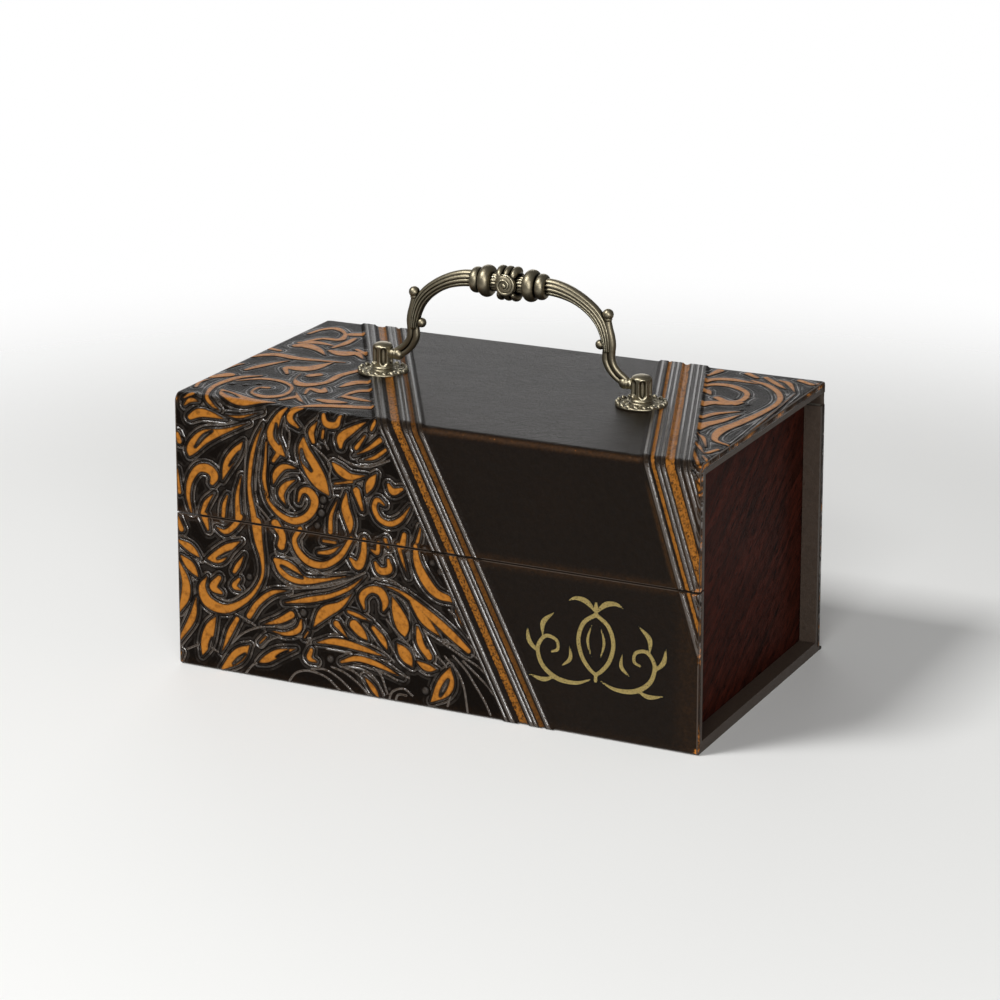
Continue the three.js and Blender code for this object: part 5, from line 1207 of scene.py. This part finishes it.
def bailArm():
    shares = bailLines
    casting = Casting()

    def run(key):
        return traced([(a * fitting["span"], u * fitting["rise"]) for a, u in shares[key]], 0.55)

    line = run("arch")
    steps = np.linspace(0, 1, len(shares["archWidth"]))
    width = shares["coreRadius"] * np.interp(np.linspace(0, 1, len(line)), steps, shares["archWidth"])
    ahead = np.gradient(line, axis=0)
    ahead /= np.linalg.norm(ahead, axis=1, keepdims=True)
    across = np.linspace(-1, 1, shares["reeds"] * 8, endpoint=False)
    swell = np.abs(np.sin(np.linspace(0, shares["reeds"] * math.pi, len(across), endpoint=False)))
    bow = np.sqrt(1 - (across * 0.93) ** 2) * (0.72 + 0.28 * swell ** 0.6)
    casting.add([[(x - dz * s * w, face * b * shares["reedDepth"], z + dx * s * w)
                  for face in (1, -1) for s, b in zip(face * across, bow)]
                 for (x, z), (dx, dz), w in zip(line, ahead, width)])
    for key, radius in (("outer", shares["outerRadius"]), ("inner", shares["innerRadius"])):
        rod = run(key)
        t = np.linspace(0, 1, len(rod))
        taper = radius * (0.82 + 0.2 * np.sin(math.pi * np.clip(t * 1.4, 0, 1)))
        casting.tube([(x, 0, z) for x, z in rod], taper, (0, 1, 0), 18)
        # A waist and a ball finish the free end.
        (x0, z0), (x1, z1) = rod[0], rod[3]
        casting.ball((x0, 0, z0), (radius * 1.38,) * 3, 14, 20)
        casting.ball((x0 + (x1 - x0) * 1.1, 0, z0 + (z1 - z0) * 1.1), (radius * 1.06,) * 3, 10, 16)
    # Eye, collar and the pin that turns in the post.
    reach = fitting["span"] - fitting["postRadius"] + 0.75
    pin, end = fitting["pinRadius"], fitting["pin"]
    casting.ball((reach - 3.6, 0, 0), (fitting["eye"],) * 3, 14, 20)
    casting.turned([(reach - 3.4, 1.5), (reach - 2.7, 2.0), (reach - 2.2, 2.05), (reach - 1.9, 1.7),
                    (reach - 1.5, 1.95), (reach - 0.6, 1.95), (reach - 0.45, 1.7)], (0, 0, 0), 0, 28)
    casting.turned([(reach - 1, pin), (reach + end - 0.2, pin), (reach + end, pin - 0.2)], (0, 0, 0), 0, 20)
    return casting


def bail():
    whole = Casting()
    whole.takeBothHands(bailArm())
    rise, shares = fitting["rise"], bailLines
    # The grip's core shows a fine reeding between its beads.
    turn = np.linspace(0, 2 * math.pi, shares["gripReeds"] * 6, endpoint=False)
    reeded = shares["coreRadius"] * (1 + 0.05 * np.cos(turn * shares["gripReeds"]))
    whole.add([np.stack([np.full(len(turn), x), reeded * np.cos(turn), rise + reeded * np.sin(turn)], 1)
               for x in np.linspace(-shares["grip"], shares["grip"], 9)])
    for place, radius, width in (shares["smallBead"], shares["largeBead"]):
        profile = [(width * 0.52 * math.sin(a), radius * (0.62 + 0.38 * math.cos(a) ** 0.8))
                   for a in np.linspace(-math.pi / 2 + 0.02, math.pi / 2 - 0.02, 17)]
        for side in (-1, 1):
            whole.turned(profile, (side * place, 0, rise), 0, 56)
    radius = shares["knuckleRadius"]
    whole.ball((0, 0, rise), (shares["knuckleWidth"], radius * 0.9, radius * 0.9), 22, 36)
    arc = np.linspace(*np.radians(shares["rollEnds"]), 19)
    swell = shares["rollRadius"] * np.sin(np.linspace(0.12, math.pi - 0.12, len(arc))) ** 0.45
    for step in range(shares["rolls"]):
        x = (step - (shares["rolls"] - 1) / 2) * shares["rollStep"]
        for side in (-1, 1):
            line = [(x * (1 - 0.12 * abs(math.cos(a))), (radius - 0.35) * math.cos(a),
                     rise + side * (radius - 0.1) * math.sin(a)) for a in arc]
            whole.tube(line, swell, (1, 0, 0), 16)
    coil = np.linspace(*shares["coilTurns"], 72)
    thick = np.interp(coil, (0.6, 0.85, 1.9, 2.15), (0.25, 0.5, 0.66, 0.2))
    out = shares["coil"] * coil
    turn = 2 * math.pi * coil + 1
    for face in (-1, 1):
        # A coiled rosette on each face of the knuckle: a boss, a pip and a spiral.
        whole.ball((0, face * (radius - 1.1), rise), shares["boss"], 14, 36)
        whole.ball((0, face * (radius + 0.2), rise), shares["bossPip"], 10, 16)
        proud = face * (radius + 0.35 - 0.05 * out ** 2)
        line = np.stack([out * np.cos(turn), proud, rise + out * np.sin(turn)], 1)
        whole.tube(line, thick, (0, face, 0), 10)
    for points in whole.vertices:
        points += (fitting["middle"], 0, fitting["pivot"])
    whole.piece("bail_casting", "handle", "bail_handle")


workTree = rosetteTree()
for side in (-1, 1):
    flutedPost(side)
    piercedRosette(side, workTree)
bail()
print("stage: brass work")

# Cloth: quilted linings, the bed for the fruit and the hinge

# Millimetres. Seams sink into the padding; the pile hides the thread, and painted shade darkens the seams.
quilting = {
    "cell": 1.0, "edge": 2.2, "seamShade": 1.0, "pucker": 0.1, "uneven": 0.03, "gather": 2.4, "close": (0.12, 0.5),
    "inset": 0.12, "sinkFrom": 1.5, "unevenFrom": 3, "fill": 0.6,
    "pads": [
        # node, body, axis it faces along, side, pattern, seam spacing, seam depth;
        # the lid's diamonds are spaced so that each screw head lies under the middle of one.
        ("lid_pad", "lid", 2, -1, "diamonds", 20.2, 2.0),
        ("flap_lining", "lid", 1, 1, "channels", 16, 1.1),
        ("lining_front", "case", 1, 1, "channels", 14, 1.1),
        ("lining_back", "case", 1, -1, "channels", 14, 1.1),
        ("lining_left", "case", 0, 1, "channels", 13.8, 1.1),
        ("lining_right", "case", 0, -1, "channels", 13.8, 1.1),
    ],
}


def quiltedPad(node, body, axis, side, pattern, spacing, depth):
    low, high = (np.array(corner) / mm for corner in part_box(node))
    one, two = [k for k in range(3) if k != axis]
    sizes = high - low
    along = []
    for size in (sizes[one], sizes[two]):
        even = np.linspace(0, size, max(6, math.ceil(size / quilting["cell"])) + 1)
        close = np.array(quilting["close"])
        along.append(np.concatenate([[0], close, even[1:-1], (size - close)[::-1], [size]]))
    u, v = np.meshgrid(*along, indexing="ij")
    edge = np.minimum(np.minimum(u, sizes[one] - u), np.minimum(v, sizes[two] - v))
    bulge = 1 - (1 - np.clip(edge / quilting["edge"], 0, 1)) ** 2
    if pattern == "diamonds":
        x, y = low[one] + u - fitting["middle"], low[two] + v
        first, second = (np.abs(np.mod(w / spacing + 0.5, 1) - 0.5) * spacing for w in (x + y, x - y))
        near = np.minimum(first, second)
        pucker = (np.sin(1.6 * (x - y)) * bell(first, 0, quilting["gather"])
                  + np.sin(1.6 * (x + y)) * bell(second, 0, quilting["gather"]))
        button = bell(first, 0, quilting["gather"]) * bell(second, 0, quilting["gather"])
    else:
        wide = sizes[one] >= sizes[two]
        w, other, size = (u, v, sizes[one]) if wide else (v, u, sizes[two])
        near = np.abs(np.mod((w - size / 2) / spacing + 0.5, 1) - 0.5) * spacing
        pucker = np.sin(1.7 * other + np.sin(w)) * bell(near, 0, 2)
        button = 0
    # Each field is a pillow between its seams, and the cloth puckers along the thread.
    sink = np.clip(0.72 * (1 - 2 * near / spacing) ** 2.2 + 0.28 * button, 0, 1)
    rng = np.random.default_rng(len(node))
    waves = rng.uniform((-0.5, -0.5, 0), (0.5, 0.5, 6), (5, 3))
    uneven = sum(np.sin(u * a + v * b + c) * quilting["uneven"] for a, b, c in waves)
    uneven += quilting["pucker"] * pucker
    depth = min(depth, sizes[axis] * 0.7)
    height = sizes[axis] * bulge - depth * sink * np.clip(edge / quilting["sinkFrom"], 0, 1)
    height += uneven * np.clip(edge / quilting["unevenFrom"], 0, 1) - quilting["inset"]
    height = np.clip(height, 0.02, sizes[axis])
    height[0, :] = height[-1, :] = height[:, 0] = height[:, -1] = 0
    points = np.zeros(u.shape + (3,))
    points[..., one], points[..., two] = low[one] + u, low[two] + v
    points[..., axis] = low[axis] + height if side > 0 else high[axis] - height
    faces = gridFaces(*u.shape) + [gridRim(*u.shape)]
    piece = meshPiece("quilted_" + node, points.reshape(-1, 3), faces, "velvet", body, node)
    # Where the seams lie, for the painted shade along them.
    setMark(piece.data, "seamShade", bell(near, 0, quilting["seamShade"]) * np.clip(edge, 0, 1))


for row in quilting["pads"]:
    quiltedPad(*row)
print("stage: linings")

# The bed: filled cloth with an oval hollow, gathered into it. Millimetres, but for pressure and stiffness.
bed = {
    "voxel": 3.5, "shrink": 0.985, "pressure": 4.0, "frames": 20, "quality": 6, "mass": 0.25, "stiffness": 12,
    "most": 1.1, "hollow": (138, 74), "gathers": 34, "gatherDepth": 0.8, "fill": 0.6,
}


def fruitBed():
    mesh = nodes["nest_cushion"].data.copy()
    low, high = (np.array(corner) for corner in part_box("nest_cushion"))
    middle = (low + high) / 2
    merged = bmesh.new()
    merged.from_mesh(mesh)
    bmesh.ops.remove_doubles(merged, verts=merged.verts, dist=0.01 * mm)
    merged.to_mesh(mesh)
    merged.free()
    mesh.materials.clear()
    mesh.materials.append(finishes["velvet"])
    piece = bpy.data.objects.new("fruit_bed", mesh)
    bpy.context.scene.collection.objects.link(piece)
    remesh = piece.modifiers.new("even", "REMESH")
    remesh.mode, remesh.voxel_size, remesh.adaptivity = "VOXEL", bed["voxel"] * mm, 0
    applied(piece)
    rest = listed(piece.data.vertices, "co")
    start = middle + (rest - middle) * bed["shrink"]
    piece.data.vertices.foreach_set("co", start.reshape(-1))
    settings = piece.modifiers.new("filling", "CLOTH").settings
    settings.quality, settings.mass = bed["quality"], bed["mass"]
    settings.use_pressure = True
    settings.uniform_pressure_force = bed["pressure"]
    settings.tension_stiffness = settings.compression_stiffness = bed["stiffness"]
    settings.effector_weights.gravity = 0
    scene = bpy.context.scene
    for number in range(1, bed["frames"] + 1):
        scene.frame_set(number)
    applied(piece)
    scene.frame_set(1)
    # The filling swells the cloth a little, and no point leaves the room that the solid one has.
    step = listed(piece.data.vertices, "co") - rest
    far = np.linalg.norm(step, axis=1, keepdims=True)
    step *= np.minimum(1, bed["most"] * mm / np.maximum(far, 1e-9))
    piece.data.vertices.foreach_set("co", np.clip(rest + step, low, high).reshape(-1))
    divide = piece.modifiers.new("fine", "SUBSURF")
    divide.levels = divide.render_levels = 1
    applied(piece)
    # Cloth is gathered into the hollow, so small folds run down its sides and die out on the flat.
    points, normals = listed(piece.data.vertices, "co"), listed(piece.data.vertices, "normal")
    x, y = ((points[:, k] - middle[k]) / (size / 2 * mm) for k, size in enumerate(bed["hollow"]))
    out, turn = np.hypot(x, y), np.arctan2(y, x)
    around = bed["gathers"] * turn
    fold = np.sin(around + 1.3 * np.sin(3 * turn)) + 0.5 * np.sin(2.3 * around + 2)
    strength = smooth(0.25, 0.75, out) * smooth(1.25, 0.95, out) * (normals[:, 2] > 0.1)
    points += normals * (fold * strength * bed["gatherDepth"] * mm)[:, None]
    piece.data.vertices.foreach_set("co", np.clip(points, low, high).reshape(-1))
    piece.data.polygons.foreach_set("use_smooth", [True] * len(piece.data.polygons))
    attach(piece, "case")
    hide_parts("nest_cushion")
    print("stage: fruit bed", len(points), "points")


fruitBed()

# The sheet is turned in over the edges of the lid and the flap, and mitred at the corners. Millimetres.
turnIns = {
    "width": 12.8, "thick": 0.34, "mitre": 0.3, "mitreWidth": 0.4, "cell": 1.5, "close": (0.25, 0.6, 1.2),
    "flapHead": 2.8, "outer": [(0.05, -0.5), (0.05, 0.4), (0.15, 0.8), (0.4, 1)],
    "inner": [(0.4, 0.97), (0.15, 0.75), (0, 0.3), (0, -0.5)],
}


def turnedIn(name, low, high, axis, side):
    one, two = [k for k in range(3) if k != axis]
    width, thick = turnIns["width"], turnIns["thick"]
    left, near, right, far = low[one], low[two], high[one], high[two]
    corners = np.array([(left, near), (right, near), (right, far), (left, far)])
    inward = np.array([(1, 1), (-1, 1), (-1, -1), (1, -1)])
    # How far in and how high, once round the section; its underside is sunk in the board.
    section = turnIns["outer"] + [(w, 1) for w in np.linspace(1.2, width - 1.2, 9)]
    section += [(width - back, up) for back, up in turnIns["inner"]]
    depth, tall = np.array(section).T
    rings = []
    for i in range(4):
        start, end = (corners[k] + depth[:, None] * inward[k] for k in (i, (i + 1) % 4))
        length = np.abs(corners[(i + 1) % 4] - corners[i]).sum()
        close = np.array(turnIns["close"])
        even = np.linspace(2, length - 2, math.ceil(length / turnIns["cell"]))
        for place in np.concatenate([[0], close, even, (length - close)[::-1]]):
            flat = start + (end - start) * place / length
            dip = turnIns["mitre"] * bell(min(place, length - place), 0, turnIns["mitreWidth"])
            wave = 0.025 * np.sin(flat @ (0.9, 1.7)) + 0.02 * np.sin(flat @ (2.3, -1))
            up = np.where(tall > 0, tall * (thick - dip + wave), tall * thick)
            ring = np.zeros((len(depth), 3))
            ring[:, one], ring[:, two] = flat[:, 0], flat[:, 1]
            ring[:, axis] = high[axis] + up if side > 0 else low[axis] - up
            rings.append(ring)
    casting = Casting()
    casting.add(rings, closed=True)
    casting.piece(name, "lid", slot="leatherette")


low, high = (np.array(corner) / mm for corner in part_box("lid_board"))
turnedIn("lid_turn_in", low, high, 2, -1)
low, high = (np.array(corner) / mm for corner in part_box("flap_board"))
turnedIn("flap_turn_in", low, high - (0, 0, turnIns["flapHead"]), 1, 1)

# The hinge: one strip of the same sheet, creased along its middle where it folds. Millimetres.
hinge = {
    "foot": 92.3, "head": 97.3, "thick": 0.75, "short": 0.2, "across": 140, "up": 15, "in": 0.02,
    # Each crease: how far up the strip as a share, its width as a share, and its depth.
    "creases": [(0.5, 0.16, 0.28), (0.22, 0.06, 0.07), (0.8, 0.06, 0.07)],
    "fixed": (0, 0.0576, 0.0928), "moving": (0, 0.0576, 0.0967),
}


def hingeCloth():
    end = sheet["halfLength"] - hinge["short"]
    across = np.linspace(-end, end, hinge["across"])
    x, z = np.meshgrid(across, np.linspace(hinge["foot"], hinge["head"], hinge["up"]))
    t = (z - hinge["foot"]) / (hinge["head"] - hinge["foot"])
    main, *others = (depth * bell(t, place, width) for place, width, depth in hinge["creases"])
    crease = main * (1 + 0.25 * np.sin(x * 0.9) * np.sin(x * 0.23)) + sum(others)
    outer = np.stack([x, sheet["halfDepth"] - hinge["in"] - crease, z], -1)
    inner = outer - (0, hinge["thick"], 0)
    points = np.vstack([outer.reshape(-1, 3), inner.reshape(-1, 3)])
    faces, rim, size = gridFaces(*x.shape), gridRim(*x.shape), x.size
    faces += [tuple(size + k for k in reversed(face)) for face in faces]
    faces += [(a, b, b + size, a + size) for a, b in zip(rim, rim[1:] + rim[:1])]
    piece = meshPiece("hinge_cloth", points, faces, "leatherette", None, "hinge_strip")
    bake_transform(piece)


hingeCloth()
print("stage: hinge")

# Stage and lights

# Lamps in metres and watts: place, what each is aimed at, the line its long side follows, and size.
studio = {
    "floor": "#f4f4f2", "floorHalf": 12, "air": 0.13,
    "fade": {"From Min": 270, "From Max": 600, "To Min": 1, "To Max": 0},
    "lamps": {
        # A long softbox leans over the right-hand front, so every line that slants down to the right shines.
        "right": ((0.8, -1.523, 0.722), (0, -0.058, 0.05), (-0.79, -0.048, 0.607), (1.8, 0.26), 22),
        "above": ((-0.75, -0.9, 1.6), (0, 0, 0.05), (1, 0, 0), (0.55, 0.55), 25),
        "behind": ((-0.8, 1.5, 0.55), (0, 0, 0.1), (1, 0, 0), (1.0, 1.0), 5.5),
    },
}


def stageAndLights():
    material, node, grid = newMaterial("pale floor")
    faint = node("ShaderNodeTexNoise", {"Vector": grid, "Scale": 0.02, "Detail": 2})
    bump = node("ShaderNodeBump", {"Height": faint, "Strength": 0.05, "Distance": mm})
    # Past its reach the floor gives way to the white air behind it.
    far = node("ShaderNodeVectorMath", {0: grid}, operation="LENGTH")
    shown = node("ShaderNodeMapRange", {"Value": far, **studio["fade"]}, interpolation_type="SMOOTHSTEP")
    finished(material, node, {"Base Color": linear(studio["floor"]), "Roughness": 0.9, "Normal": bump,
                              "Alpha": shown})
    mesh = bpy.data.meshes.new("floor")
    half = studio["floorHalf"]
    corners = [(-half, -half, 0), (half, -half, 0), (half, half, 0), (-half, half, 0)]
    mesh.from_pydata(corners, [], [(0, 1, 2, 3)])
    mesh.materials.append(material)
    floor = bpy.data.objects.new("floor", mesh)
    bpy.context.scene.collection.objects.link(floor)

    world = bpy.data.worlds.new("studio")
    world.use_nodes = True
    bpy.context.scene.world = world
    world.node_tree.nodes.clear()
    node = partial(addNode, world.node_tree)
    seen = node("ShaderNodeLightPath").outputs["Is Camera Ray"]
    strength = node("ShaderNodeMapRange", {"Value": seen, "To Min": studio["air"], "To Max": 1})
    air = node("ShaderNodeBackground", {"Color": (1, 1, 1, 1), "Strength": strength})
    node("ShaderNodeOutputWorld", {"Surface": air})
    for name, (place, aim, along, size, power) in studio["lamps"].items():
        data = bpy.data.lights.new(name, "AREA")
        data.shape, data.energy = "RECTANGLE", power
        data.size, data.size_y = size
        lamp = bpy.data.objects.new(name, data)
        toward = (Vector(place) - Vector(aim)).normalized()
        upward = toward.cross(Vector(along)).normalized()
        axes = Matrix((upward.cross(toward), upward, toward)).transposed()
        lamp.matrix_world = Matrix.Translation(place) @ axes.to_4x4()
        bpy.context.scene.collection.objects.link(lamp)
    bpy.context.scene.view_settings.view_transform = "Standard"


stageAndLights()

print("stage: done")
